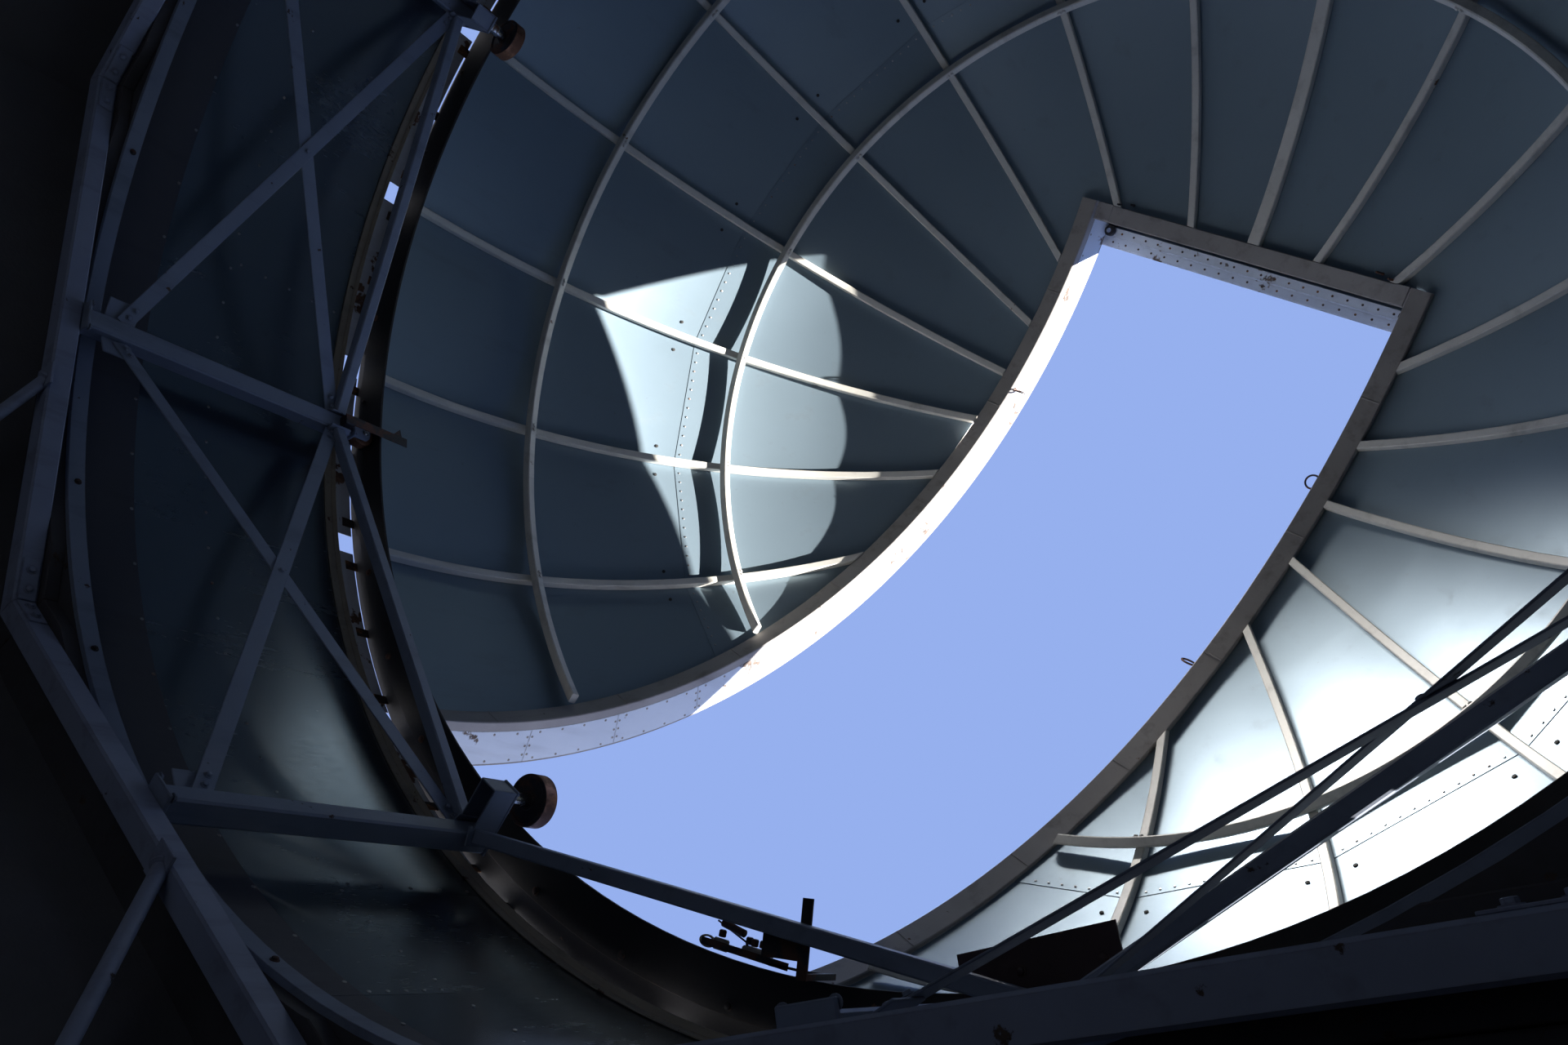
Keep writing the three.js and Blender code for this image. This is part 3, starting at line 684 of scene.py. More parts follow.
RUST = (0.19, 0.10, 0.06)
FINISH = {
    "shell": sheet_finish("dome sheet", (0.235, 0.31, 0.37), (0.18, 0.245, 0.30), 0.42, (0.14, 0.14, 0.13)),
    "drum": sheet_finish("galvanised sheet", (0.33, 0.375, 0.42), (0.20, 0.235, 0.275), 0.22,
                         (0.11, 0.085, 0.075), metallic=0.95, grain=90.0, specks=0.03),
    # The foot course is darker than the courses above it
    "drum foot": sheet_finish("darker foot sheet", (0.125, 0.125, 0.145), (0.080, 0.080, 0.095), 0.5,
                              (0.05, 0.03, 0.025), metallic=0.6, grain=60.0),
    "rib": paint_finish("rib paint", (0.64, 0.63, 0.58), (0.54, 0.53, 0.49), 0.48, RUST, spread=0.08),
    "rim": paint_finish("weathered rim paint", (0.33, 0.315, 0.31), (0.25, 0.235, 0.23), 0.6,
                        (0.16, 0.10, 0.075), wear=0.5, spread=0.09, dirt=0.45, scale=16.0),
    "coaming": paint_finish("coaming paint", (0.62, 0.68, 0.78), (0.54, 0.60, 0.70), 0.42,
                            (0.16, 0.12, 0.10), wear=0.7, spread=0.17, dirt=0.18, scale=5.0),
    # Dark paint, made almost black as painted shade for the ring's underside
    "ring": paint_finish("ring paint with painted shade", (0.012, 0.011, 0.012), (0.008, 0.0075, 0.008), 0.72, RUST,
                         wear=0.5, spread=0.10, dirt=0.2),
    "ring edge": paint_finish("rusty ring edge", (0.05, 0.035, 0.03), (0.03, 0.022, 0.02), 0.7,
                              (0.26, 0.125, 0.055), wear=0.8, spread=0.24, dirt=0.2, scale=9.0),
    "skirt": paint_finish("skirt paint", (0.62, 0.66, 0.72), (0.52, 0.55, 0.60), 0.5, RUST, wear=0.8,
                          spread=0.2),
    "cream": paint_finish("cream paint", (0.50, 0.44, 0.35), (0.40, 0.33, 0.25), 0.6, RUST, spread=0.12,
                          scale=16.0),
    "frame": paint_finish("frame paint", (0.26, 0.30, 0.385), (0.20, 0.235, 0.31), 0.5,
                          (0.10, 0.06, 0.045), spread=0.10, scale=12.0),
    "beam": paint_finish("beam paint", (0.34, 0.38, 0.50), (0.27, 0.30, 0.40), 0.6, (0.13, 0.09, 0.07),
                         spread=0.09, dirt=0.35, scale=12.0),
    "end plate": paint_finish("end plate paint", (0.50, 0.475, 0.44), (0.41, 0.39, 0.36), 0.6, RUST,
                              spread=0.06, scale=14.0),
    "primer": paint_finish("primer", (0.060, 0.030, 0.028), (0.042, 0.022, 0.021), 0.5, RUST, spread=0.08,
                           scale=12.0),
    # The deck's near-black colour is painted shade, for the shaded underside of the deck
    "deck": paint_finish("deck paint with painted shade", (0.085, 0.078, 0.080), (0.060, 0.055, 0.058), 0.75,
                         (0.12, 0.075, 0.055), wear=0.8, spread=0.13, dirt=0.5, scale=14.0),
    "door": paint_finish("door paint", (0.095, 0.13, 0.155), (0.075, 0.10, 0.125), 0.4,
                         (0.12, 0.07, 0.05), wear=0.7, spread=0.12, dirt=0.25),
    "masonry": masonry_finish(),
    "tread": steel_finish("rusty tread", (0.42, 0.20, 0.11), 0.42, (0.20, 0.085, 0.045), 0.34, 0.8),
    "dark steel": steel_finish("dark steel", (0.055, 0.05, 0.052), 0.5, (0.13, 0.06, 0.04), 0.26, 0.5),
    "bright": steel_finish("bright steel", (0.66, 0.65, 0.63), 0.24, (0.25, 0.13, 0.07), 0.16, 1.0),
    "zinc": steel_finish("zinc plating", (0.44, 0.45, 0.46), 0.4, (0.22, 0.12, 0.08)),
    "rubber": paint_finish("black rubber", (0.02, 0.02, 0.02), (0.03, 0.03, 0.03), 0.8,
                           (0.05, 0.05, 0.05), wear=0.3, spread=0.1),
}


def dress(obj, body, slot, finish, nodes=(), smooth=35):
    """Gives a piece its finish and its body, and hides the nodes that it stands for. The slot is not used."""
    if smooth:
        shaded(obj, smooth)
    if finish:
        obj.data.materials.clear()
        obj.data.materials.append(FINISH[finish])
    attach(obj, body)
    if nodes:
        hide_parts(*nodes)
    return obj


def part_finished(obj, finish, test):
    """Gives the faces that pass a test a second finish."""
    obj.data.materials.append(FINISH[finish])
    for face in obj.data.polygons:
        if test(face):
            face.material_index = 1
    return obj


def toned(obj, tone):
    """Writes each face's panel tone, from 0 dark to 1 light."""
    marks = obj.data.attributes.new("tone", "FLOAT", "FACE")
    for face in obj.data.polygons:
        marks.data[face.index].value = tone(face.center)
    return obj


# Dome sheet and ribs

END_UP = arc_out(END_ANGLE)
END_BACK = Vector((0, sin(radians(END_ANGLE)), cos(radians(END_ANGLE))))
END_SPOT = CENTRE + END_BACK * (END_HALF + GAP)
SIDE_X = RIM_HALF + GAP
REAR_BARS = 2
CAP_HEIGHT = 1.700
LAP_SCREW_HEIGHT = 1.820


def ahead_of_end(spot):
    return (spot - END_SPOT).dot(END_BACK) < 0


def clear_of_slit(spot, margin=0.03):
    return abs(spot.x) > SIDE_X + margin or not ahead_of_end(spot - END_BACK * margin)


def gore_tone(centre):
    """Each sheet's own tone; the sheets above the lap differ from those below it."""
    gore = int(degrees(atan2(centre.y, centre.x)) % 360 / GORE_DEGREES)
    course = 1 if centre.z > LAP_Z else 0
    return random.Random(gore * 2 + course).uniform(0.05, 1.0)


def shell():
    """Gores flat from rib to rib, the upper sheets lapped inside the lower ones."""
    bpy.ops.object.select_all(action="DESELECT")
    bpy.ops.mesh.primitive_uv_sphere_add(segments=GORES, ring_count=120, radius=SHEET, location=ABOUT_RING)
    obj = settle(named(bpy.context.object, "shell_sheets"))
    trimmed(obj, (0, 0, FOOT), (0, 0, -1))
    bpy.ops.object.mode_set(mode="EDIT")
    pick(lambda face: abs(face.normal.z) > 0.999 and face.calc_center_median().z < FOOT + 0.01)
    bpy.ops.mesh.delete(type="FACE")
    for spot, normal in ((END_SPOT, END_BACK), ((SIDE_X, 0, 0), (1, 0, 0)), ((-SIDE_X, 0, 0), (1, 0, 0)),
                         ((0, 0, LAP_Z), (0, 0, 1))):
        bpy.ops.mesh.select_all(action="SELECT")
        bpy.ops.mesh.bisect(plane_co=spot, plane_no=normal)
    pick(lambda face: abs(face.calc_center_median().x) < SIDE_X and ahead_of_end(face.calc_center_median()))
    bpy.ops.mesh.delete(type="FACE")
    pick(lambda face: face.calc_center_median().z > LAP_Z)
    bpy.ops.mesh.split()
    lap = (SHEET - 0.0025) / SHEET
    bpy.ops.transform.resize(value=(lap, lap, lap), center_override=ABOUT_RING)
    bpy.ops.object.mode_set(mode="OBJECT")
    toned(obj, gore_tone)
    return thickened(obj, SHEET_T, 1)


def cut_for_slit(obj, k):
    """Cuts the bar over the k-th rib line at the ring, and at the end frame or the side of the slit."""
    trimmed(obj, (0, 0, FOOT), (0, 0, -1))
    if abs(k) <= REAR_BARS:
        return trimmed(obj, END_SPOT, -END_BACK)
    side = 1 if k < 0 else -1
    return trimmed(obj, (side * SIDE_X, 0, 0), (-side, 0, 0))


def over_ribs(name, outline_of):
    """One bar for each rib line, from its outline [x, rho] drawn at the rear."""
    made = []
    for k in RIB_LINES:
        bar = placed(arc_of(name, outline_of(k), 91.0, 179.5, 59), about_z(k * GORE))
        made.append(cut_for_slit(bar, k))
    return joined(name, made)


def rib_outline(k):
    half = RIB_HALF if k else REAR_RIB_HALF
    return box_outline((-half, half), (RIB_IN, SHEET - GAP - half * CREASE), 0.004)


def batten_outline(_):
    """Cover strip folded over the crease between two gores."""
    half = BATTEN_HALF
    edge = BATTEN_SEAT - half * CREASE
    return [(-half, edge), (0, BATTEN_SEAT), (half, edge),
            (half, edge + SHEET_T), (0, BATTEN_SEAT + SHEET_T), (-half, edge + SHEET_T)]


def rib_azimuth(k):
    return pi / 2 + k * GORE


def rib_line(k, elevation, radius, across):
    """Point and outward normal over the k-th rib line."""
    out = outward(rib_azimuth(k)) * cos(elevation) + UP * sin(elevation)
    return CENTRE + out * radius + sideways(rib_azimuth(k)) * across, out


def hoop_radius(height):
    return sqrt(HOOP_RHO ** 2 - height ** 2)


def hoop(name, height, half):
    """Box hoop that ends at the sides of the slit in front."""
    radius = hoop_radius(height)
    short = asin(SIDE_X / radius) - 0.02
    outline = box_outline((radius - half, radius + half), (height - half, height + half), 0.005)
    bar = drawn(name, [(r, 0, RING + z) for r, z in outline])
    placed(bar, about_z(-pi / 2 + short))
    spun(bar, 172, WHOLE - 2 * short, axis=(0, 0, -1))
    for side in (1, -1):
        trimmed(bar, (side * SIDE_X, 0, 0), (-side, 0, 0), lambda face, side=side: (
            face.calc_center_median().y < -0.5 and face.calc_center_median().x * side > 0))
    return bar


def batten_seats():
    """Outer rivets on both sides of each batten's middle."""
    for k in RIB_LINES:
        for step in range(46):
            for across in (-0.021, 0.021):
                spot, out = rib_line(k, radians(3 + step * 1.9), BATTEN_SEAT - 0.0002, across)
                if clear_of_slit(spot):
                    yield seat(spot, out)


def hoop_seats():
    """Pairs of bolts on the hoops' inner faces where they cross the ribs."""
    for k in RIB_LINES:
        for height in HOOPS:
            radius = hoop_radius(height) - HOOP / 2
            for shift in (-0.012, 0.012):
                out = outward(rib_azimuth(k) + shift / radius)
                spot = CENTRE + out * radius + UP * height
                if clear_of_slit(spot):
                    yield seat(spot, -out)


def cap_seats():
    """Capped bolts on the sheet's inner face, on both sides of each rib under the lap."""
    level = SHEET * cos(asin(CAP_HEIGHT / SHEET))
    for k in RIB_LINES:
        for across in (-0.09, 0.09):
            reach = level - 0.0005 - abs(across) * CREASE
            spot = CENTRE + outward(rib_azimuth(k) + across / level) * reach + UP * CAP_HEIGHT
            if clear_of_slit(spot, 0.1):
                yield seat(spot, CENTRE - spot)


def lap_seats():
    """Screws along the lap, on the flats of the upper sheets."""
    level = SHEET * cos(asin(LAP_SCREW_HEIGHT / SHEET)) - 0.0035
    count = 12
    for gore in range(GORES):
        for step in range(1, count + 1):
            part = GORE * step / (count + 1)
            out = outward(gore * GORE + part)
            reach = level * cos(GORE / 2) / cos(part - GORE / 2)
            spot = CENTRE + out * reach + UP * (LAP_SCREW_HEIGHT - 0.002)
            if clear_of_slit(spot, 0.05):
                yield seat(spot, -out - UP * 0.6)


def build_dome_cover():
    dress(shell(), "dome", "dome_sheet", "shell",
          ["shell_rear_right", "shell_rear_left", "shell_front_left", "shell_front_right"], 9)
    ribs = over_ribs("ribs", rib_outline)
    hoops = joined("hoops", [hoop("hoop", height, HOOP / 2) for height in HOOPS])
    dress(ribs, "dome", "rib_paint", "rib", ["rib_cage_left", "rib_cage_right"])
    dress(hoops, "dome", "rib_paint", "rib")
    dress(over_ribs("battens", batten_outline), "dome", "dome_sheet", "shell")

    head = rivet("rivet", 0.0065)
    bolt = hex_bolt("bolt", 0.009, 0.008)
    cap = rivet("cap", 0.0095)
    screw = rivet("screw", 0.0055)
    dress(scattered("batten_rivets", head, batten_seats()), "dome", "dome_sheet", "zinc")
    dress(scattered("hoop_bolts", bolt, hoop_seats()), "dome", "rib_paint", "rib")
    dress(scattered("sheet_caps", cap, cap_seats()), "dome", "dome_sheet", "rubber")
    dress(scattered("lap_screws", screw, lap_seats()), "dome", "dome_sheet", "zinc")
    discard(head, bolt, cap, screw)


# Slit: rim band, coaming panels, rails and end frame

# Slit angles where one coaming panel ends and the next begins, and of the welds
PANELS = (1.0, 15, 25, 35, 44, 54, 64, 74, 84, 94, 103, 113)
WELDS = range(11, 102, 15)


def mirrored(obj, name):
    return copied(obj, Matrix.Scale(-1, 4, (1, 0, 0)), name)


def outer_skin():
    """Solid of the outer skin, to seat what stands on the sheets."""
    bpy.ops.object.select_all(action="DESELECT")
    bpy.ops.mesh.primitive_uv_sphere_add(segments=GORES, ring_count=60, radius=SHEET + 0.0031,
                                         location=ABOUT_RING)
    return settle(named(bpy.context.object, "outer_skin"))


def less(obj, cutter):
    """Cuts one solid out of another."""
    only(obj)
    cut = obj.modifiers.new("cut", "BOOLEAN")
    cut.operation = "DIFFERENCE"
    cut.solver = "EXACT"
    cut.object = cutter
    bpy.ops.object.modifier_apply(modifier="cut")
    return obj


def ended(bar):
    """Cuts a bar of the slit at the ring and at the end frame."""
    trimmed(bar, (0, 0, FOOT), (0, 0, -1))
    return trimmed(bar, END_SPOT - END_BACK * GAP, END_BACK)


def panel(start, end):
    """One flat length of the coaming, with a narrow joint at each end."""
    outline = box_outline((SLIT_HALF, SLIT_HALF + 0.004), (RIM_TOP - 0.002, RAIL_TOP - RAIL_T))
    return arc_of("panel", outline, start + 0.035, end - 0.035, max(2, round(end - start)))


def strap(theta):
    """Cover strap behind the joint of two panels."""
    outline = box_outline((SLIT_HALF + 0.0045, SLIT_HALF + 0.0085), (2.888, 3.045))
    return arc_of("strap", outline, theta - 0.45, theta + 0.45, 2)


def weld(theta):
    """Weld bead across the rim band's inner face."""
    outline = [(SLIT_HALF + 0.002, RIM_RHO - 0.0022), (RIM_HALF - 0.002, RIM_RHO - 0.0022),
               (RIM_HALF - 0.002, RIM_RHO + 0.001), (SLIT_HALF + 0.002, RIM_RHO + 0.001)]
    return bevelled(arc_of("weld", outline, theta - 0.09, theta + 0.09, 2), 0.0015, 1, 50)


def slit_rails():
    """Rail with its turned-down lip, and the coaming that carries it down the rear of the dome."""
    under = RAIL_TOP - RAIL_T
    run = arc_of("run", box_outline((SLIT_HALF, SLIT_HALF + COAMING_T), (2.80, under)), 112, RAIL_END, 64)
    trimmed(run, END_SPOT - END_BACK * GAP, -END_BACK)
    skin = outer_skin()
    less(run, skin)
    discard(skin)
    flange = box_outline((SLIT_HALF, RAIL_OUT), (under, RAIL_TOP), 0.0015)
    turned_down = box_outline((RAIL_OUT - 0.008, RAIL_OUT), (RAIL_TOP - 0.030, under + 0.001))
    rail = arc_of("rail", flange, 1.0, RAIL_END, 175)
    lip = arc_of("lip", turned_down, 1.0, RAIL_END, 175)
    rails = joined("slit_rail_right", [run, rail, lip])
    return trimmed(rails, (0, 0, FOOT), (0, 0, -1))


def coaming_screws():
    """Screws along both edges of the coaming panels, and on both sides of their joints."""
    for step in range(2, 224, 5):
        for rho in (2.898, 3.034):
            spot = on_arc(SLIT_HALF, rho, step * 0.5)
            if spot.z > FOOT + 0.02:
                yield seat(spot, (-1, 0, 0))
    for theta in PANELS[1:-1]:
        for rho in (2.92, 2.966, 3.012):
            for shift in (-0.25, 0.25):
                yield seat(on_arc(SLIT_HALF, rho, theta + shift), (-1, 0, 0))


def build_slit():
    rim = box_outline((SLIT_HALF, RIM_HALF), (RIM_RHO, RIM_TOP), 0.004)
    band = ended(arc_of("slit_rim_right", rim, 0.8, 114, 113))
    panels = joined("panels", [panel(start, end) for start, end in zip(PANELS, PANELS[1:])])
    straps = joined("straps", [strap(theta) for theta in PANELS[1:-1]])
    coaming = ended(joined("slit_coaming_right", [panels, straps]))
    rails = slit_rails()
    head = rivet("screw", 0.006)
    screws = scattered("slit_screws_right", head, coaming_screws())
    discard(head)
    welds = joined("rim_welds_right", [weld(theta) for theta in WELDS])
    for piece, slot, finish, nodes in ((band, "rim_paint", "rim", ["slit_arch_right"]),
                                       (coaming, "rib_paint", "coaming", []), (rails, "rim_paint", "rim", []),
                                       (screws, "rim_paint", "rim", []), (welds, "rim_paint", "rim", [])):
        other = mirrored(piece, piece.name.replace("right", "left"))
        dress(piece, "dome", slot, finish, nodes)
        dress(other, "dome", slot, finish, [name.replace("right", "left") for name in nodes])


def end_point(x, rho, back):
    """Point of the end frame: across the slit, out along its plane, and behind it."""
    return CENTRE + Vector((x, 0, 0)) + END_UP * rho + END_BACK * back


def end_band(name, outline, half):
    """Arched bar of the end frame from [rho, back] corners, cut off square at the slit's sides."""
    reach = asin(half / RIB_IN) + 0.02
    base = drawn(name, [end_point(0, rho, back) for rho, back in outline])
    there = Matrix.Translation(CENTRE)
    placed(base, there @ Matrix.Rotation(-reach, 4, END_BACK) @ there.inverted())
    spun(base, 28, 2 * reach, axis=tuple(-END_BACK))
    trimmed(base, (half, 0, 0), (1, 0, 0))
    return trimmed(base, (-half, 0, 0), (-1, 0, 0))


def leaning(lean):
    """Outward direction in the end frame's plane, leant to the side by an angle."""
    return END_UP * cos(lean) + Vector((sin(lean), 0, 0))


def build_end_frame():
    half = SLIT_HALF - GAP
    outer = SHEET - GAP - RIB_HALF * CREASE
    band = end_band("end_band", box_outline((RIB_IN, outer), (-END_HALF, END_HALF), 0.004), half)
    dress(band, "dome", "rim_paint", "rim", ["slit_end_frame"])

    # Coaming plate with a straight top edge, the folded lip under it, and a seam
    under = RIB_IN + 0.002
    corners = [end_point(-half, RAIL_TOP, -END_HALF), end_point(half, RAIL_TOP, -END_HALF)]
    for x in (half - 2 * half * step / 16 for step in range(17)):
        corners.append(end_point(x, sqrt(under ** 2 - x ** 2), -END_HALF))
    front = pulled(drawn("end_plate", corners), END_BACK * 0.006)
    lip_ends = [end_point(side * half, RAIL_TOP - 0.003, 0.014 - END_HALF) for side in (-1, 1)]
    lip = bar_between("lip", *lip_ends, 0.006, 0.028, END_BACK, 0.001)
    dress(joined("end_plate", [front, lip]), "dome", "rib_paint", "end plate")
    seam_ends = [end_point(side * half, 3.022, -END_HALF) for side in (-1, 1)]
    seam = bar_between("end_seam", *seam_ends, 0.0035, 0.002, END_BACK, 0.0005)
    dress(seam, "dome", "rim_paint", "dark steel")

    # Rusty screws along the plate, corner gussets and the short studs
    screw = rivet("screw", 0.005)
    seats = [seat(end_point(step * 0.075, 3.018, -END_HALF), -END_BACK)
             for step in (-10, -7, -3, 0, 1, 5, 8, 11)]
    dress(scattered("end_screws", screw, seats), "dome", "rim_paint", "ring edge")
    gussets = []
    for side in (1, -1):
        out = leaning(side * (asin(half / RIB_IN) - 0.017))
        spot = CENTRE + out * (RIB_IN - 0.002) + END_BACK * 0.004
        gussets.append(placed(plate("gusset", (0.095, 0.075, 0.005), 0.0015), seat(spot, -out, END_BACK)))
    dress(joined("end_gussets", gussets), "dome", "rim_paint", "rim")
    stud = turned("stud", [(0.008, 0), (0.008, 0.006), (0.006, 0.008), (0.006, 0.058), (0.005, 0.062)], 10)
    seats = []
    for side in (1, -1):
        for back, lean in ((0.062, 15.2), (0.078, 13.76)):
            out = leaning(side * radians(lean))
            seats.append(seat(CENTRE + out * (SHEET - 0.028) + END_BACK * back, -out))
    dress(scattered("end_studs", stud, seats), "dome", "rim_paint", "dark steel")
    discard(screw, stud)


# Shutter sections

LOWER = {"body": "lower_shutter", "front": 109, "half": 0.943, "rho": 3.105, "bar_in": 3.066,
         "wheel_x": 0.923, "skirt": 3.066}
UPPER = {"body": "upper_shutter", "front": 108, "half": 1.018, "rho": 3.160, "bar_in": 3.118,
         "wheel_x": 0.975, "skirt": 3.030}
SPAN = 61
SHUTTER_BAR = 0.050
BAR_INSET = 0.1
WHEEL_R = 0.024
WHEEL_ANGLES = (112.5, 139.5, 166.5)


def shutter_tone(centre):
    """Panels of the skin, alternately lighter and darker."""
    theta = degrees(atan2(centre.z - RING, -centre.y))
    return 0.75 if int(theta / 15.3) % 2 else 0.4


def build_shutter(front, half, rho, bar_in, wheel_x, skirt, body):
    """Curved skin with folded sides, box bars across it, and its running wheels."""
    t = SHEET_T
    channel = [(-half, skirt), (t - half, skirt), (t - half, rho), (half - t, rho), (half - t, skirt),
               (half, skirt), (half, rho + t), (-half, rho + t)]
    skin = toned(arc_of(body + "_skin", channel, front, front + SPAN, 61), shutter_tone)
    dress(skin, body, "dome_sheet", "shell", [body], 20)
    bar = degrees(SHUTTER_BAR / rho)
    starts = (BAR_INSET, SPAN / 3, 2 * SPAN / 3, SPAN - bar - BAR_INSET)
    section = box_outline((0.001 - half, half - 0.001), (bar_in, rho + 0.001), 0.003)
    bars = [arc_of("bar", section, front + start, front + start + bar, 2) for start in starts]
    nose = box_outline((0.002 - half, half - 0.002), (rho - 0.020, rho + 0.002), 0.001)
    edge = arc_of("edge", nose, front - 0.02, front + 0.12, 1)
    dress(joined(body + "_bars", bars + [edge]), body, "rib_paint", "coaming")

    # Rusty screws on the leading bar and rivets over the skin
    head = rivet("screw", 0.0065)
    seats = [seat(on_arc(step * (half - 0.06) / 11, bar_in, front + BAR_INSET + bar / 2), -arc_out(front))
             for step in range(-11, 12)]
    dress(scattered(body + "_screws", head, seats), body, "rim_paint", "ring edge")
    seats = [seat(on_arc(step * (half - 0.04) / 14, rho + t - 0.0002, front + start + bar / 2),
                  arc_out(front + start + bar / 2)) for start in starts for step in range(-14, 15)]
    dress(scattered(body + "_rivets", head, seats), body, "dome_sheet", "zinc")

    # Running wheels on their pins
    wheel = lathed("wheel", both_ways([(0.0085, -0.011), (0.014, -0.011), (0.015, -0.008), (0.020, -0.008),
                                       (0.0215, -0.011), (WHEEL_R, -0.010)]), 24)
    reach = abs(half - wheel_x)
    pin = turned("pin", [(0.0082, -0.013), (0.0082, reach), (0.005, reach)], 12)
    nut = turned("nut", [(0.013, -0.020), (0.014, -0.018), (0.014, -0.013), (0.013, -0.0125)], 6)
    pin = joined("pin", [pin, nut])
    seats = [seat(on_arc(side * wheel_x, RAIL_TOP + GAP + WHEEL_R, angle), (side, 0, 0))
             for angle in WHEEL_ANGLES for side in (1, -1)]
    dress(scattered(body + "_wheels", wheel, seats), body, "roller_tread", "tread")
    dress(scattered(body + "_pins", pin, seats), body, "roller_tread", "dark steel")
    discard(head, wheel, pin)


def build_side_rollers():
    """Rollers under the lower section's leading bar, which keep it between the coamings."""
    theta = LOWER["front"] + BAR_INSET + degrees(SHUTTER_BAR / LOWER["rho"]) / 2
    x = SLIT_HALF - 0.032
    roller = turned("roller", both_ways([(0.022, -0.015), (0.030, -0.013)]), 28)
    stem = turned("stem", [(0.014, -0.019), (0.014, -0.015), (0.010, -0.0145), (0.010, 0.047)], 16)
    seats = [seat(on_arc(side * x, 3.035, theta), arc_out(theta), ALONG_X) for side in (1, -1)]
    dress(scattered("side_rollers", roller, seats), "lower_shutter", "roller_tread", "rubber")
    dress(scattered("side_roller_stems", stem, seats), "lower_shutter", "roller_tread", "bright")
    discard(roller, stem)


# Turning ring, with its fastenings and the weather skirt

SKIRT_SPAN = radians(16.2)


def rib_feet(bolt):
    """Foot plates of the ribs, each with two bolts."""
    radius = sqrt(RIB_IN ** 2 - (FOOT - RING) ** 2)
    for k in RIB_LINES:
        out = outward(rib_azimuth(k))
        spot = out * (radius - 0.005) + UP * (RING + 0.0755)
        yield placed(plate("foot", (0.10, 0.11, 0.006), 0.0015), seat(spot, UP, out))
        for shift in (-0.040, 0.040):
            yield copied(bolt, seat(spot + sideways(rib_azimuth(k)) * shift - out * 0.030 + UP * 0.003, UP))


def build_ring():
    step_in = RING_WEB - RING_PLATE
    step_up = RING_HIGH - RING_PLATE
    outline = [(RING_IN, 0), (RING_WEB, 0), (RING_WEB, step_up), (RING_OUT, step_up),
               (RING_OUT, RING_HIGH), (step_in, RING_HIGH), (step_in, RING_PLATE), (RING_IN, RING_PLATE)]
    ring = bevelled(ring_of("turning_ring", outline, 180), 0.0015, 1)
    dress(ring, "dome", "ring_steel", "ring", ["base_ring"])
    part_finished(ring, "ring edge", lambda face: hypot(face.center.x, face.center.y) > RING_OUT - 0.004)
    bolt = hex_bolt("bolt", 0.011, 0.008)
    seats = []
    for step in range(40):
        out = outward(radians(step * 9 + 4.5))
        seats.append(seat(CENTRE + out * 2.910, -UP, out))
        seats.append(seat(CENTRE + UP * RING_PLATE + out * 2.805, UP, out))
    dress(scattered("ring_bolts", bolt, seats), "dome", "ring_steel", "dark steel")
    dress(joined("rib_feet", rib_feet(bolt)), "dome", "rib_paint", "rib")
    discard(bolt)

    # Skirt lengths hung under the upper plate, on tabs
    skirts = []
    tabs = []
    section = box_outline((3.0475, 3.0500), (-0.125, 0.046))
    for step in range(GORES):
        start = radians(step * GORE_DEGREES + 1.0)
        length = placed(drawn("skirt", [(r, 0, RING + z) for r, z in section]), about_z(start))
        skirts.append(spun(length, 12, SKIRT_SPAN, axis=(0, 0, -1)))
        for part in (0.08, 0.5, 0.92):
            tab = moved(plate("tab", (0.004, 0.045, 0.062), 0.001), 3.0455, 0, RING + 0.030)
            tabs.append(placed(tab, about_z(start + SKIRT_SPAN * part)))
    dress(joined("skirt", skirts), "dome", "ring_steel", "skirt")
    dress(joined("skirt_tabs", tabs), "dome", "ring_steel", "ring edge")


# Fixed drum: sheets in courses, and the angles at its top and foot

LAP = radians(0.35)
DRUM_SHEETS = 6
DRUM_FOOT = DECK_TOP - RING + GAP
LOWER_LAPS = radians(16)
UPPER_LAPS = radians(28)


def drum_course(name, radius, span, first_lap, thick):
    """One course of bent sheets; every other one lies outside its neighbours and laps over them."""
    made = []
    for step in range(DRUM_SHEETS):
        inner = radius + (thick if step % 2 else 0.0)
        section = box_outline((inner, inner + thick), span)
        sheet = drawn(name, [(r, 0, RING + z) for r, z in section])
        placed(sheet, about_z(first_lap + WHOLE * step / DRUM_SHEETS - LAP))
        made.append(spun(sheet, 30, WHOLE / DRUM_SHEETS + 2 * LAP, axis=(0, 0, -1)))

    def sheet_tone(centre):
        turn = degrees(atan2(centre.y, centre.x) - first_lap) % 360
        return random.Random(int(turn * DRUM_SHEETS / 360) + DRUM_SHEETS).uniform(0.1, 0.9)

    return toned(joined(name, made), sheet_tone)


def around(count, radius, height, first=0.0):
    """Spots on a level circle with their outward directions."""
    for step in range(count):
        out = outward(first + WHOLE * step / count)
        yield out * radius + UP * (RING + height), out


def lap_rivets():
    """Rivets up the drum's upright laps, on the inner face."""
    for lap, low, high in ((LOWER_LAPS, -0.97, -0.73), (UPPER_LAPS, -0.66, -0.17)):
        for step in range(DRUM_SHEETS):
            out = outward(lap + WHOLE * step / DRUM_SHEETS)
            for part in range(5):
                spot = out * (DRUM_R + 0.0005) + UP * (RING + low + (high - low) * part / 4)
                yield seat(spot, -out)


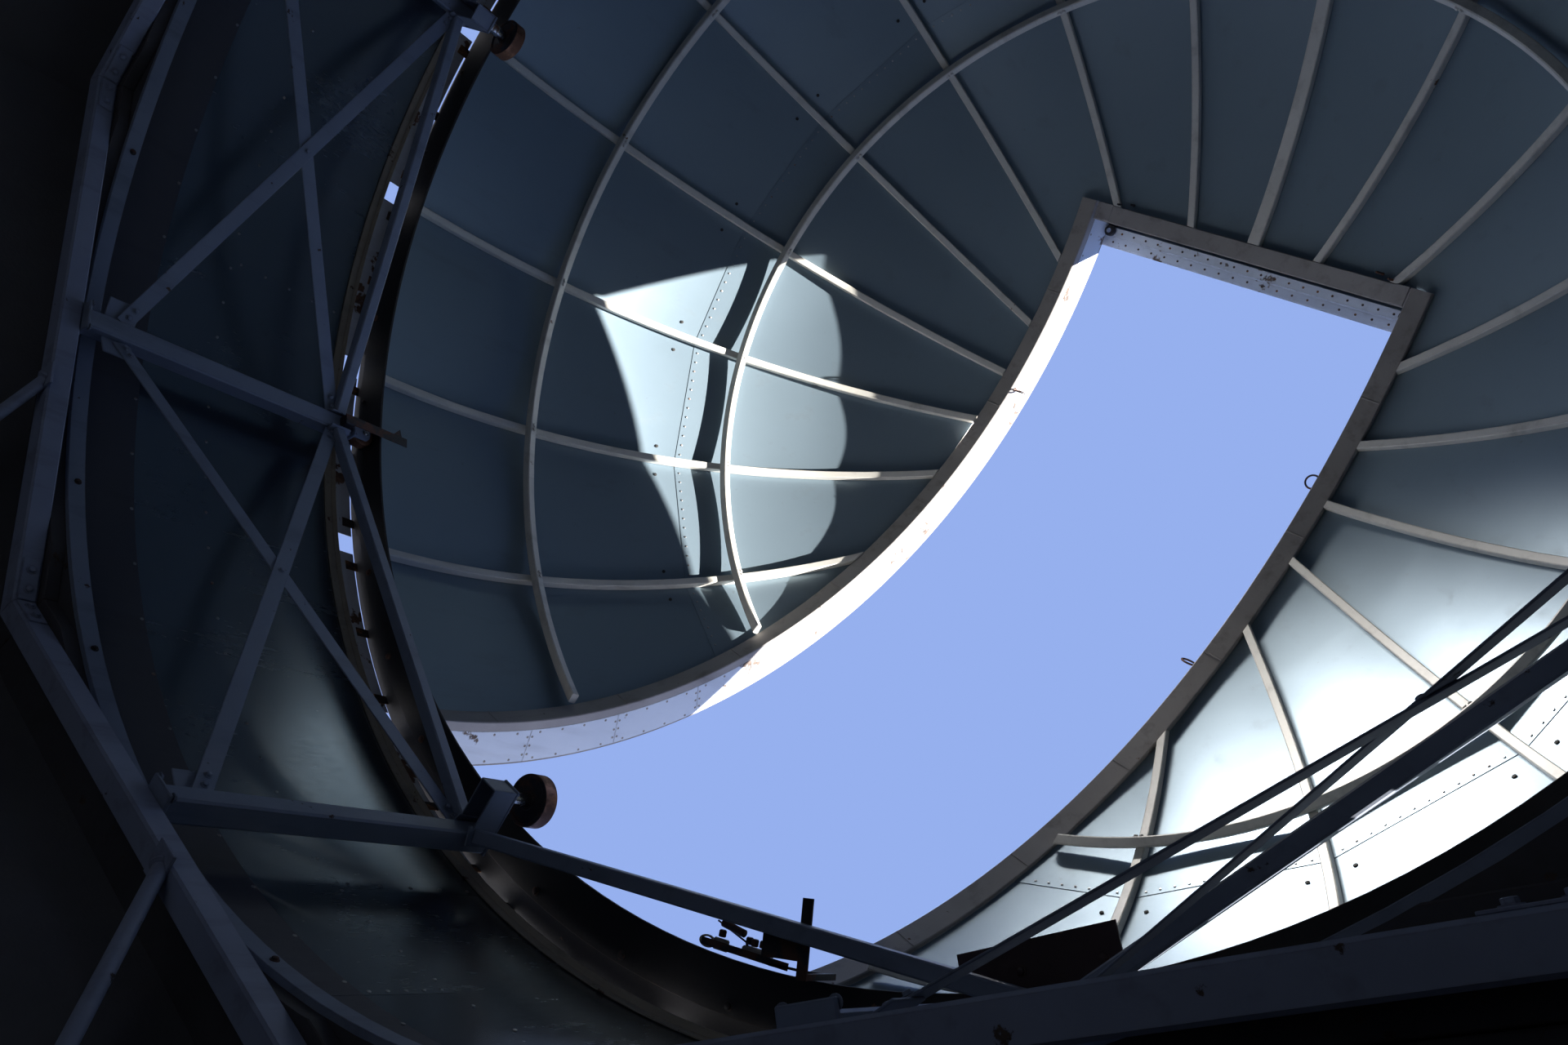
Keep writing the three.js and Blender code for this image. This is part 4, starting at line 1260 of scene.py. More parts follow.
def build_drum():
    walls = ["drum_wall_rear_right", "drum_wall_rear_left", "drum_wall_front_left", "drum_wall_front_right"]
    for name, gap, span, first_lap, thick, finish, nodes in (
            ("drum_foot", -0.0001, (DRUM_FOOT, -0.998), LOWER_LAPS, 0.0012, "drum foot", walls),
            ("drum_lower_course", 0.0005, (-1.02, -0.690), LOWER_LAPS, 0.0012, "drum", []),
            ("drum_upper_course", 0.0014, (-0.715, -0.090), UPPER_LAPS, 0.0014, "drum", [])):
        course = drum_course(name, DRUM_R + gap, span, first_lap, thick)
        dress(course, "building", "galvanised", finish, nodes)
    outer = DRUM_R - 0.0004
    top = [(outer - 0.030, -0.096), (outer - 0.006, -0.096), (outer - 0.006, -0.130), (outer, -0.130),
           (outer, -0.090), (outer - 0.030, -0.090)]
    top_ring = bevelled(ring_of("top_ring", top, 160), 0.0012, 1)
    dress(top_ring, "building", "galvanised", "cream", ["drum_top_ring"])
    inner = outer - SILL
    leg = 0.006
    sill = [(inner, DRUM_FOOT), (outer, DRUM_FOOT), (outer, DRUM_FOOT + leg), (inner + leg, DRUM_FOOT + leg),
            (inner + leg, DRUM_FOOT + SILL), (inner, DRUM_FOOT + SILL)]
    sill_ring = bevelled(ring_of("sill_ring", sill, 160), 0.0015, 1)
    dress(sill_ring, "building", "frame_paint", "frame", ["drum_sill_ring"])

    bolt = hex_bolt("bolt", 0.009, 0.008)
    seats = [seat(spot, UP) for spot, _ in around(40, outer - 0.026, DRUM_FOOT + leg, radians(4.5))]
    seats += [seat(spot, -out) for spot, out in around(24, inner, DRUM_FOOT + 0.034, radians(2))]
    dress(scattered("sill_bolts", bolt, seats), "building", "frame_paint", "dark steel")
    head = rivet("rivet", 0.0065)
    seats = [seat(spot, -out) for spot, out in around(72, outer - 0.006, -0.115, radians(1))]
    dress(scattered("top_ring_rivets", head, seats), "building", "galvanised", "cream")
    seats = [seat(spot, -out) for spot, out in around(108, DRUM_R + 0.0004, -0.703, radians(0.6))]
    seats += [seat(spot, -out) for spot, out in around(72, DRUM_R - 0.0002, -1.009, radians(2.1))]
    seats += lap_rivets()
    dress(scattered("drum_rivets", head, seats), "building", "galvanised", "zinc")
    seats = []
    outer_rows = ((108, 0.0042, -0.703, 0.6), (72, 0.0042, -0.125, 1), (72, 0.0022, -1.17, 2))
    for count, gap, height, first in outer_rows:
        seats += [seat(spot, out) for spot, out in around(count, DRUM_R + gap, height, radians(first))]
    dress(scattered("drum_outer_rivets", head, seats), "building", "galvanised", "zinc")
    discard(bolt, head)


# Bay frames of the drum, drawn with the post on the X axis and turned into place

FRAME_FOOT = BEAM_TOP + GAP
BRACE_Z = FRAME_FOOT + 0.125
BAY_OUT = outward(BAY / 2)
BAY_ALONG = sideways(BAY / 2)


def bay_point(part, z):
    """Point on the bay's middle plane, from one post at 0 to the next at 1."""
    half = POST_R * sin(BAY / 2)
    apothem = POST_R * cos(BAY / 2)
    return BAY_OUT * apothem + BAY_ALONG * (2 * part - 1) * half + UP * z


def post_bolts(across, along, z, radius, height):
    """Bolts on a plate of the post, at these distances from its middle."""
    bolt = hex_bolt("bolt", radius, height)
    made = [copied(bolt, seat((POST_R + u, v, z), UP)) for u in across for v in along]
    discard(bolt)
    return made


def build_post():
    """Box post with its base plate, the weld round its foot and four bolts."""
    base_top = FRAME_FOOT + PLATE_T
    foot = (POST_R, 0, base_top - 0.001)
    post = bar_between("post", foot, (POST_R, 0, POST_TOP), POST, POST, ALONG_X, 0.007)
    base = moved(plate("base", (0.116, 0.124, PLATE_T), 0.003), POST_R, 0, FRAME_FOOT + PLATE_T / 2)
    half = 0.046
    corners = [(POST_R + u, v, base_top) for u, v in box_outline((-half, half), (-half, half), 0.010)]
    weld_line = bevelled(pulled(drawn("weld", corners), (0, 0, 0.006)), 0.003, 1)
    return [post, base, weld_line] + post_bolts((-0.049, 0.049), (-0.053, 0.053), base_top, 0.010, 0.009)


def build_chord():
    """Chord between two posts, flush with their inner faces, and the plates that end it."""
    inset = POST / 2 / cos(BAY / 2) + 0.012
    start = bay_point(0, CHORD_Z) - BAY_OUT * CHORD_INSET + BAY_ALONG * inset
    end = bay_point(1, CHORD_Z) - BAY_OUT * CHORD_INSET - BAY_ALONG * inset
    pieces = [bar_between("chord", start, end, CHORD, CHORD, BAY_OUT, 0.005)]
    for spot, way in ((start, 1), (end, -1)):
        ear = plate("ear", (0.008, 0.070, 0.100), 0.002)
        pieces.append(placed(ear, seat(spot + BAY_ALONG * way * 0.001, UP, BAY_ALONG)))
    return pieces


def build_braces():
    """Crossed flat braces and the plates that tie them to the posts."""
    pieces = []
    bolt = hex_bolt("bolt", 0.009, 0.008)
    bolt_face = BAY_OUT * 0.0058
    for low, high, off in ((0, 1, -0.0031), (1, 0, 0.0031)):
        foot = bay_point(low, BRACE_Z)
        head = bay_point(high, CHORD_Z)
        run = (head - foot).normalized()
        ends = (foot + run * 0.052 + BAY_OUT * off, head - run * 0.062 + BAY_OUT * off)
        pieces.append(bar_between("brace", *ends, 0.062, 0.0055, BAY_OUT, 0.0012))
        for spot, way in ((foot, 1), (head, -1)):
            for shift in (0.085, 0.125):
                pieces.append(copied(bolt, seat(spot + run * way * shift - bolt_face, -BAY_OUT, run)))
    for part, way in ((0, 1), (1, -1)):
        spot = bay_point(part, BRACE_Z + 0.012) + BAY_ALONG * way * 0.075 + BAY_OUT * 0.0092
        pieces.append(placed(plate("gusset", (0.115, 0.120, 0.006), 0.002), seat(spot, BAY_OUT, BAY_ALONG)))
    cross = bay_point(0.5, (BRACE_Z + CHORD_Z) / 2)
    pieces.append(copied(bolt, seat(cross - bolt_face, -BAY_OUT, UP)))
    discard(bolt)
    return pieces


ROLLER_R = 0.095
ROLLER_HALF = 0.030
ROLLER_AXIS = RING_IN * cos(pi / 60) - GAP - ROLLER_R
ROLLER_Z = RING + 0.006
SUPPORT_R = 0.055
AXLE_Z = RING - GAP - SUPPORT_R
AXLE_BORE = 0.0125


def roller_seat():
    """Plate on the post with the guide roller's collar, and its bright shaft with washer and nut."""
    top = POST_TOP + PLATE_T
    bed = plate("bed", (POST_R - ROLLER_AXIS + 0.090, 0.090, PLATE_T), 0.003)
    pieces = [moved(bed, (POST_R + ROLLER_AXIS) / 2, 0, POST_TOP + PLATE_T / 2)]
    far, near = POST_R - 0.041, ROLLER_AXIS - 0.040
    cheek_z = POST_TOP - 0.051
    for y in (-0.041, 0.041):
        pieces.append(moved(plate("cheek", (far - near, 0.006, 0.105), 0.002), (far + near) / 2, y, cheek_z))
    pieces.append(moved(plate("end", (0.006, 0.076, 0.105), 0.002), near + 0.004, 0, cheek_z))
    pieces += post_bolts((-0.022, 0.026), (-0.028, 0.028), top, 0.009, 0.008)
    collar_top = ROLLER_Z - ROLLER_HALF - 0.0004 - top
    collar = turned("collar", [(0.032, 0), (0.032, 0.010), (0.026, 0.014), (0.026, collar_top - 0.002),
                               (0.024, collar_top)], 28)
    tip = ROLLER_Z + 0.048 - top
    shaft = turned("shaft", [(0.0147, collar_top), (0.0147, tip - 0.002), (0.0127, tip)], 24)
    nut = turned("nut", [(0.024, tip - 0.0175), (0.025, tip - 0.016), (0.025, tip - 0.0065),
                         (0.023, tip - 0.005)], 6)
    washer = turned("washer", [(0.029, tip - 0.0178), (0.029, tip - 0.0152)], 24)
    return pieces, moved(joined("shaft", [shaft, nut, washer, collar]), ROLLER_AXIS, 0, top)


def rounded_cheek(x0, x1):
    """Upright plate with a rounded head, bored for the axle."""
    half = 0.040
    foot = POST_TOP + PLATE_T - 0.001
    outline = [(x0, -half, foot), (x0, half, foot)]
    for step in range(13):
        angle = radians(step * 15)
        outline.append((x0, half * cos(angle), AXLE_Z + 0.030 * sin(angle)))
    cheek = pulled(drawn("cheek", outline), (x1 - x0, 0, 0))
    bore = turned("bore", [(AXLE_BORE, -0.05), (AXLE_BORE, 0.05)], 20)
    less(cheek, placed(bore, seat(((x0 + x1) / 2, 0, AXLE_Z), ALONG_X)))
    discard(bore)
    return bevelled(cheek, 0.0015, 1, 50)


def wheel_seat():
    """Plate on the post with the support wheel's two cheeks."""
    bed = moved(plate("bed", (0.120, 0.100, PLATE_T), 0.003), POST_R, 0, POST_TOP + PLATE_T / 2)
    cheeks = [rounded_cheek(POST_R + x, POST_R + x + 0.010) for x in (-0.040, 0.030)]
    return [bed] + cheeks + post_bolts((-0.050, 0.050), (-0.036, 0.036), POST_TOP + PLATE_T, 0.008, 0.007)


def build_frames():
    roller_parts, shaft = roller_seat()
    seats = [joined("roller_seat", roller_parts), joined("wheel_seat", wheel_seat())]
    bay = joined("bay", build_post() + build_chord())
    braces = joined("braces", build_braces())
    for i in range(SIDES):
        turn = about_z(i * BAY)
        kind = i % 2
        parts = [bay, seats[kind]] if i == OPEN_BAY else [bay, seats[kind], braces]
        frame_piece = joined("bay_frame_%d" % (i + 1), [copied(part, turn) for part in parts])
        dress(frame_piece, "building", "frame_paint", "frame", ["drum_frame_%d" % (i + 1)])
        if not kind:
            dress(copied(shaft, turn, "roller_shaft_%d" % (i // 2 + 1)), "building", "frame_paint", "bright")
    discard(shaft, bay, braces, *seats)


def guide_roller():
    """Guide roller about +Z, with a recessed web and six bolt heads on it."""
    half = ROLLER_HALF
    web = 0.003 - half
    roller = lathed("roller", both_ways([(0.0153, -half), (0.034, -half), (0.036, web), (0.078, web),
                                         (0.081, -half), (ROLLER_R - 0.003, -half), (ROLLER_R, web)]), 56)
    cap = hex_bolt("bolt", 0.006, 0.004)
    holes = [copied(cap, seat(outward(radians(60 * step)) * 0.056 - UP * web, UP)) for step in range(6)]
    discard(cap)
    return joined("roller", [roller] + holes)


def build_rollers():
    roller = guide_roller()
    tread = 0.025
    wheel = turned("wheel", both_ways([(0.026, -tread - 0.003), (0.028, -tread), (0.050, -tread),
                                       (SUPPORT_R, 0.004 - tread)]), 40)
    axle = turned("axle", both_ways([(0.010, -0.047), (0.012, -0.045)]), 20)
    clips = [turned("clip", [(0.016, low), (0.016, low + 0.002)], 20) for low in (0.0412, -0.0432)]
    axle = joined("axle", [axle] + clips)
    for i in range(4):
        turn = i * pi / 2
        body = "guide_roller_%d" % (i + 1)
        place = about_z(turn) @ Matrix.Translation((ROLLER_AXIS, 0, ROLLER_Z))
        turning = dress(copied(roller, place, "roller_%d" % (i + 1)), body, "roller_tread", "tread", [body])
        part_finished(turning, "dark steel", lambda face: abs(face.normal.z) > 0.5)
        body = "support_wheel_%d" % (i + 1)
        place = about_z(turn + BAY) @ seat((POST_R, 0, AXLE_Z), ALONG_X)
        dress(copied(wheel, place, "wheel_%d" % (i + 1)), body, "roller_tread", "tread", [body])
        dress(copied(axle, place, "wheel_axle_%d" % (i + 1)), body, "roller_tread", "bright")
    discard(roller, wheel, axle)


# Octagon beam, knee rods, deck and masonry

def mitred(name, inner, outer, low, high, chamfer=0.0, gap=0.0008):
    """One mitred length of an octagonal frame, on the side that faces +X."""
    base = drawn(name, [(x, -2.0, z) for x, z in box_outline((inner, outer), (low, high), chamfer)])
    pulled(base, (0, 4.0, 0))
    for side in (1, -1):
        normal = Vector((-sin(BAY / 2), side * cos(BAY / 2), 0))
        trimmed(base, normal * -gap, normal)
    return base


def on_sides(obj, skipped=None):
    """Copies of a piece on the sides of the octagon, but for one that may be skipped."""
    return [copied(obj, about_z(i * BAY)) for i in range(SIDES) if i != skipped]


def beam_straps(bolt):
    """Bolted straps over the beams' mitres, for the side that faces +X."""
    mitre = BEAM_IN * tan(BAY / 2)
    level = BEAM_TOP - BEAM_H / 2
    for side in (1, -1):
        strap_plate = plate("strap", (0.006, 0.150, 0.056), 0.0015)
        yield moved(strap_plate, BEAM_IN - 0.0032, side * (mitre - 0.080), level)
        for shift in (0.045, 0.115):
            yield copied(bolt, seat((BEAM_IN - 0.0062, side * (mitre - shift), level), (-1, 0, 0)))


def knee_rod(bolt):
    """Rod from a cleat under the beam down to a bolted pad on the wall."""
    low = BEAM_TOP - BEAM_H
    top = Vector((POST_R, -0.300, low + 0.002))
    foot = Vector((WALL_IN - 0.026, -1.080, low - 0.500))
    length = (foot - top).length
    rod_piece = turned("rod", [(0.030, 0), (0.030, 0.010), (0.022, 0.016), (0.022, length - 0.016),
                               (0.030, length - 0.008), (0.030, length)], 18)
    pieces = [placed(rod_piece, seat(top, foot - top)),
              moved(plate("pad", (0.012, 0.120, 0.120), 0.003), WALL_IN - 0.0063, foot.y, foot.z),
              moved(plate("shoe", (0.022, 0.060, 0.060), 0.004), WALL_IN - 0.022, foot.y, foot.z),
              moved(plate("cleat", (0.100, 0.090, 0.010), 0.002), POST_R, top.y, low - 0.005)]
    for u in (-0.042, 0.042):
        for v in (-0.042, 0.042):
            pieces.append(copied(bolt, seat((WALL_IN - 0.0123, foot.y + u, foot.z + v), (-1, 0, 0))))
    return joined("knee", pieces)


def build_beam():
    bolt = hex_bolt("bolt", 0.011, 0.010)
    length = mitred("beam", BEAM_IN, BEAM_OUT, BEAM_TOP - BEAM_H, BEAM_TOP, 0.007)
    straps = joined("straps", beam_straps(bolt))
    beams = joined("octagon_beams", on_sides(length) + on_sides(straps))
    dress(beams, "building", "beam_paint", "beam", ["octagon_beam"])
    knee = knee_rod(bolt)
    dress(joined("knee_rods", on_sides(knee, OPEN_BAY)), "building", "beam_paint", "beam")
    discard(length, straps, bolt, knee)


DECK_HOLE_R = DRUM_R - 0.0405


def build_deck():
    """Boards laid along each side, on the beam and the walls, with the weathered edge trim outside."""
    boards = []
    for inner, outer in ((2.800, 2.956), (2.960, 3.106), (3.110, 3.256), (3.260, WALL_OUT)):
        board = mitred("board", inner, outer, DECK_FOOT, DECK_TOP - 0.002, 0.003, 0.0015)
        boards += on_sides(board)
        discard(board)
    deck = joined("deck_boards", boards)
    hole = turned("hole", [(DECK_HOLE_R, DECK_TOP - 0.2), (DECK_HOLE_R, DECK_TOP + 0.2)], 120)
    less(deck, hole)
    cover_t = 0.0019
    corner = Vector((WALL_OUT / cos(BAY / 2), 0, DECK_TOP - cover_t))
    corners = [about_z((i + 0.5) * BAY) @ corner for i in range(SIDES)]
    cover = pulled(drawn("deck_sheet", corners), (0, 0, cover_t))
    less(cover, hole)
    discard(hole)
    # The boards and the roof sheet both take the near-black deck colour, which is painted shade
    dress(deck, "building", "deck_paint", "deck", ["roof_deck"])
    dress(cover, "building", "deck_paint", "deck")
    trim_in, trim_out = WALL_OUT + GAP, WALL_OUT + 0.004
    trim_low, trim_top = DECK_FOOT - 0.045, DECK_TOP + 0.004
    trim = mitred("trim", trim_in, trim_out, trim_low, trim_top)
    cap = mitred("cap", 3.310, trim_out, DECK_TOP + 0.0004, trim_top)
    drip = mitred("drip", trim_out, trim_out + 0.012, trim_low, trim_low + 0.004)
    flashing = joined("flashing", [trim, cap, drip])
    dress(joined("deck_flashing", on_sides(flashing)), "building", "deck_paint", "zinc")
    discard(flashing)


DOOR_SIDE = 2
DOOR_GAP_HALF = 0.55


def build_walls():
    """Masonry finish on the walls, with a plinth that the doorway parts and a band under the deck."""
    for name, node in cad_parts.items():
        if name.startswith(("wall_", "door_wall", "door_lintel")):
            node.data.materials.clear()
            node.data.materials.append(FINISH["masonry"])
    plinth = mitred("plinth", WALL_OUT + GAP, WALL_OUT + 0.025, 0.0, 0.420)
    band = mitred("band", WALL_OUT + GAP, WALL_OUT + 0.018, DECK_FOOT - 0.20, DECK_FOOT - 0.075)
    strips = on_sides(plinth, DOOR_SIDE) + on_sides(band)
    for side in (1, -1):
        length = copied(plinth, about_z(DOOR_SIDE * BAY))
        strips.append(trimmed(length, (side * DOOR_GAP_HALF, 0, 0), (-side, 0, 0)))
    discard(plinth, band)
    dress(bevelled(joined("plinth_and_band", strips), 0.006, 2), "building", "masonry", "masonry")


# Door in its surround, on the side that faces +Y

DOOR_HALF = 0.4497
DOOR_HEAD = 1.9997
SURROUND = 0.050
LEAF_HALF = DOOR_HALF - 0.053
LEAF_TOP = DOOR_HEAD - 0.053
LEAF_FOOT = 0.008
LEAF_IN = WALL_OUT - 0.100
LEAF_OUT = WALL_OUT - 0.055
STILE = 0.110


def door_surround():
    back, front = WALL_OUT - 0.160, WALL_OUT - 0.040
    inner, under = DOOR_HALF - SURROUND, DOOR_HEAD - SURROUND
    outline = [(DOOR_HALF, back, 0), (DOOR_HALF, back, DOOR_HEAD), (-DOOR_HALF, back, DOOR_HEAD),
               (-DOOR_HALF, back, 0), (-inner, back, 0), (-inner, back, under), (inner, back, under),
               (inner, back, 0)]
    surround = bevelled(pulled(drawn("door_surround", outline), (0, front - back, 0)), 0.004, 2)
    stop_y = WALL_OUT - 0.114
    stop_top = under - 0.006
    stops = []
    for x in (inner - 0.006, 0.006 - inner):
        ends = ((x, stop_y, LEAF_FOOT), (x, stop_y, stop_top))
        stops.append(bar_between("stop", *ends, 0.012, 0.026, ALONG_Y, 0.002))
    head = bar_between("stop", (inner, stop_y, stop_top), (-inner, stop_y, stop_top), 0.026, 0.012, UP, 0.002)
    return joined("door_surround", [surround, *stops, head])


def door_leaf():
    """Framed and boarded leaf: a core, two stiles, three rails, and boards between the rails."""
    core = plate("leaf", (2 * LEAF_HALF, 0.033, LEAF_TOP - LEAF_FOOT), 0.002)
    pieces = [moved(core, 0, (LEAF_IN + LEAF_OUT) / 2, (LEAF_TOP + LEAF_FOOT) / 2)]
    face = LEAF_OUT - 0.005
    for x in (STILE / 2 - LEAF_HALF, LEAF_HALF - STILE / 2):
        ends = ((x, face, LEAF_FOOT), (x, face, LEAF_TOP))
        pieces.append(bar_between("stile", *ends, STILE, 0.012, ALONG_Y, 0.003))
    reach = LEAF_HALF - STILE + 0.001
    for z, high in ((0.11, 0.20), (0.95, 0.14), (LEAF_TOP - 0.06, 0.12)):
        pieces.append(bar_between("rail", (-reach, face, z), (reach, face, z), high, 0.012, ALONG_Y, 0.003))
    count = 6
    width = 2 * (LEAF_HALF - STILE) / count
    y = LEAF_OUT - 0.008
    for step in range(count):
        x = STILE - LEAF_HALF + width * (step + 0.5)
        for low, high in ((0.211, 0.879), (1.021, LEAF_TOP - 0.121)):
            ends = ((x, y, low), (x, y, high))
            pieces.append(bar_between("board", *ends, width - 0.003, 0.006, ALONG_Y, 0.0015))
    return joined("door_boards", pieces)


def handle(face, way, reach):
    """Rose and lever on one face of the leaf; way is 1 outside and -1 inside."""
    x, z = LEAF_HALF - 0.06, 1.04
    rose = turned("rose", [(0.026, 0), (0.026, 0.006), (0.020, 0.010), (0.011, 0.012), (0.010, 0.045)], 24)
    y = face + way * reach
    lever = bar_between("lever", (x, y, z), (x - 0.13, y, z - 0.005), 0.020, 0.012, ALONG_Y, 0.004)
    return [placed(rose, seat((x, face, z), (0, way, 0))), lever]


def door_furniture():
    """Three hinges, the handles and the keyhole."""
    pieces = []
    for z in (0.350, 1.000, 1.650):
        knuckle = turned("knuckle", [(0.010, 0), (0.012, 0.003), (0.012, 0.107), (0.010, 0.110)], 16)
        leaf = plate("hinge_leaf", (0.090, 0.004, 0.100), 0.001)
        pieces += [moved(knuckle, -LEAF_HALF - 0.001, LEAF_OUT + 0.006, z),
                   moved(leaf, 0.045 - LEAF_HALF, LEAF_OUT + 0.003, z + 0.055)]
    pieces += handle(LEAF_OUT + 0.001, 1, 0.040)
    keyhole = turned("keyhole", [(0.018, 0), (0.018, 0.004), (0.012, 0.007)], 20)
    pieces.append(placed(keyhole, seat((LEAF_HALF - 0.06, LEAF_OUT + 0.001, 0.93), ALONG_Y)))
    return joined("door_furniture", pieces + handle(LEAF_IN + 0.006, -1, 0.042))


def build_door():
    dress(door_surround(), "building", "door_paint", "door", ["door_frame"])
    dress(door_leaf(), "building", "door_paint", "door", ["door_leaf"])
    dress(door_furniture(), "building", "door_paint", "bright")
    threshold = moved(plate("threshold", (0.780, 0.170, 0.006), 0.002), 0, WALL_OUT - 0.075, 0.0035)
    dress(threshold, "building", "door_paint", "zinc")


# Small fittings on the fixed frame and in the slit

SWITCH_ARM_AT = radians(240.4)
SWITCH_AT = radians(247.5)
STANDING_BAR_AT = radians(315)
PRIMED_PLATE_AT = radians(225)


def beside(turn, r, across, z):
    """Point at a radius and a height above the ring, and so far to the side of an angle about Z."""
    return outward(turn) * r + sideways(turn) * across + UP * (RING + z)


def flat(name, turn, corners, z, thick):
    """Flat plate of any outline, from [radius, distance to the side] corners."""
    return pulled(drawn(name, [beside(turn, r, across, z) for r, across in corners]), (0, 0, thick))


def torus(name, radius, wire):
    bpy.ops.object.select_all(action="DESELECT")
    bpy.ops.mesh.primitive_torus_add(major_radius=radius, minor_radius=wire, major_segments=32,
                                     minor_segments=10)
    return named(bpy.context.object, name)


def rod(name, start, end, radius, sides=16):
    """Round bar with eased ends."""
    start, end = Vector(start), Vector(end)
    length = (end - start).length
    ease = radius * 0.15
    profile = [(radius - ease, 0), (radius, ease), (radius, length - ease), (radius - ease, length)]
    return placed(turned(name, profile, sides), seat(start, end - start))


def switch_arm():
    """Arm from the chord with a wing and an upright, and the strip, rail and blade at its end."""
    turn = SWITCH_ARM_AT
    arm_ends = [beside(turn, r, 0, -0.171) for r in (2.550, 2.768)]
    arm = bar_between("arm", *arm_ends, 0.035, 0.008, UP, 0.001)
    wing = flat("wing", turn, [(2.655, 0.015), (2.655, 0.140), (2.720, 0.140), (2.720, 0.015)], -0.175, 0.005)
    upright_ends = [beside(turn, 2.760, 0, z) for z in (-0.170, 0.005)]
    upright = bar_between("upright", *upright_ends, 0.018, 0.010, sideways(turn), 0.001)
    corners = [(2.742, -0.180), (2.742, 0.150), (2.764, 0.150), (2.764, -0.180)]
    strip = flat("strip", SWITCH_AT, corners, 0.0, 0.005)
    corners = [(2.757, -0.175), (2.764, -0.080), (2.764, 0.060), (2.757, 0.060), (2.756, -0.080),
               (2.749, -0.175)]
    rail = flat("rail", radians(244), corners, 0.0, 0.005)
    corners = [(2.728, 0.040), (2.708, 0.045), (2.768, -0.015), (2.768, 0.012)]
    blade = flat("blade", radians(245), corners, 0.006, 0.004)
    return joined("switch_arm", [arm, wing, upright, strip, rail, blade])


def switch_housing():
    """Rounded housing, the clamp beside it and a loop."""
    out = outward(SWITCH_AT)
    housing = plate("housing", (0.030, 0.105, 0.034), 0.006)
    placed(housing, seat(beside(SWITCH_AT, 2.746, -0.052, 0.020), UP, out))
    clamp = plate("clamp", (0.036, 0.058, 0.012), 0.004)
    placed(clamp, seat(beside(SWITCH_AT, 2.750, 0.080, 0.010), UP, out))
    loop = placed(torus("loop", 0.027, 0.0055), Matrix.Diagonal((0.6, 1, 1, 1)))
    placed(loop, seat(beside(SWITCH_AT, 2.752, 0.135, 0.012), UP, out))
    return joined("switch_housing", [housing, clamp, loop])


def switch_knobs():
    """Knobs on the housing's inner face, and the barrel on its bar in front of them."""
    knob = turned("knob", [(0.009, 0), (0.012, 0.002), (0.012, 0.018), (0.009, 0.022)], 12)
    places = ((-0.085, 0.020), (-0.060, 0.032), (-0.038, 0.018), (-0.012, 0.026), (0.082, 0.010))
    knobs = [copied(knob, seat(beside(SWITCH_AT, 2.728, across, z), -outward(SWITCH_AT)))
             for across, z in places]
    discard(knob)
    level = 0.012
    joint = beside(SWITCH_AT, 2.722, -0.012, level)
    bar = rod("bar", joint, beside(SWITCH_AT, 2.684, 0.110, level), 0.003, 8)
    barrel = rod("barrel", beside(SWITCH_AT, 2.700, 0, level), beside(SWITCH_AT, 2.686, 0.090, level), 0.012)
    foot = rod("foot", beside(SWITCH_AT, 2.745, -0.020, level), joint, 0.004, 8)
    return joined("switch_knobs", knobs + [bar, barrel, foot])


def standing_bar():
    """Flat bar that stands up inside the ring at one post, with a small blade."""
    turn = STANDING_BAR_AT
    out = outward(turn)
    standing = plate("standing", (0.006, 0.045, 0.340), 0.0015)
    placed(standing, seat(beside(turn, 2.760, 0, -0.030), UP, out))
    spacer = plate("spacer", (0.046, 0.045, 0.050), 0.002)
    placed(spacer, seat(beside(turn, 2.786, 0, -0.170), UP, out))
    corners = ((0.020, 0.062), (0.058, 0.098), (0.020, 0.108))
    tip = pulled(drawn("tip", [beside(turn, 2.757, across, z) for across, z in corners]), out * 0.006)
    return joined("standing_bar", [standing, spacer, tip])


def primed_plate():
    """Primed plate with its bolts, on the post beside the open bay."""
    level = -0.118
    corners = [(2.654, -0.160), (2.670, 0.280), (2.805, 0.280), (2.805, -0.160)]
    primed = flat("primed", PRIMED_PLATE_AT, corners, level, 0.006)
    bolt = hex_bolt("bolt", 0.010, 0.009)
    bolts = [copied(bolt, seat(beside(PRIMED_PLATE_AT, 2.735, across, level), -UP))
             for across in (-0.110, 0.110, 0.230)]
    discard(bolt)
    return joined("primed_plate", [primed] + bolts)


def slit_eyes():
    """Eyes on the slit's plates, each at a side, a distance and a slit angle, with its own lean."""
    eye = torus("eye", 0.0355, 0.0050)
    pieces = []
    for x, rho, theta, normal in ((-0.862, 2.930, 91.9, (0, 0.05, 1)), (-0.864, 2.870, 69.5, (0, -1, 0.28)),
                                  (0.864, 2.870, 88.7, (0, -1, 0.30))):
        side = 1 if x > 0 else -1
        pieces.append(copied(eye, seat(on_arc(x, rho, theta), normal)))
        ends = [on_arc(side * (SLIT_HALF - inset), rho, theta) for inset in (0.0005, 0.010)]
        pieces.append(rod("stem", *ends, 0.011, 12))
    discard(eye)
    return joined("slit_eyes", pieces)


def build_fittings():
    dress(switch_arm(), "building", "frame_paint", "dark steel")
    dress(switch_housing(), "building", "rib_paint", "cream")
    dress(switch_knobs(), "building", "frame_paint", "dark steel")
    dress(standing_bar(), "building", "frame_paint", "dark steel")
    dress(primed_plate(), "building", "frame_paint", "primer")
    dress(slit_eyes(), "dome", "rim_paint", "dark steel")


# The object, then the camera, the lights and the floor

def build_object():
    build_dome_cover()
    build_slit()
    build_end_frame()
    build_shutter(**LOWER)
    build_shutter(**UPPER)
    build_side_rollers()
    build_ring()
    build_drum()
    build_frames()
    build_rollers()
    build_fittings()
    build_beam()
    build_deck()
    build_walls()
    build_door()


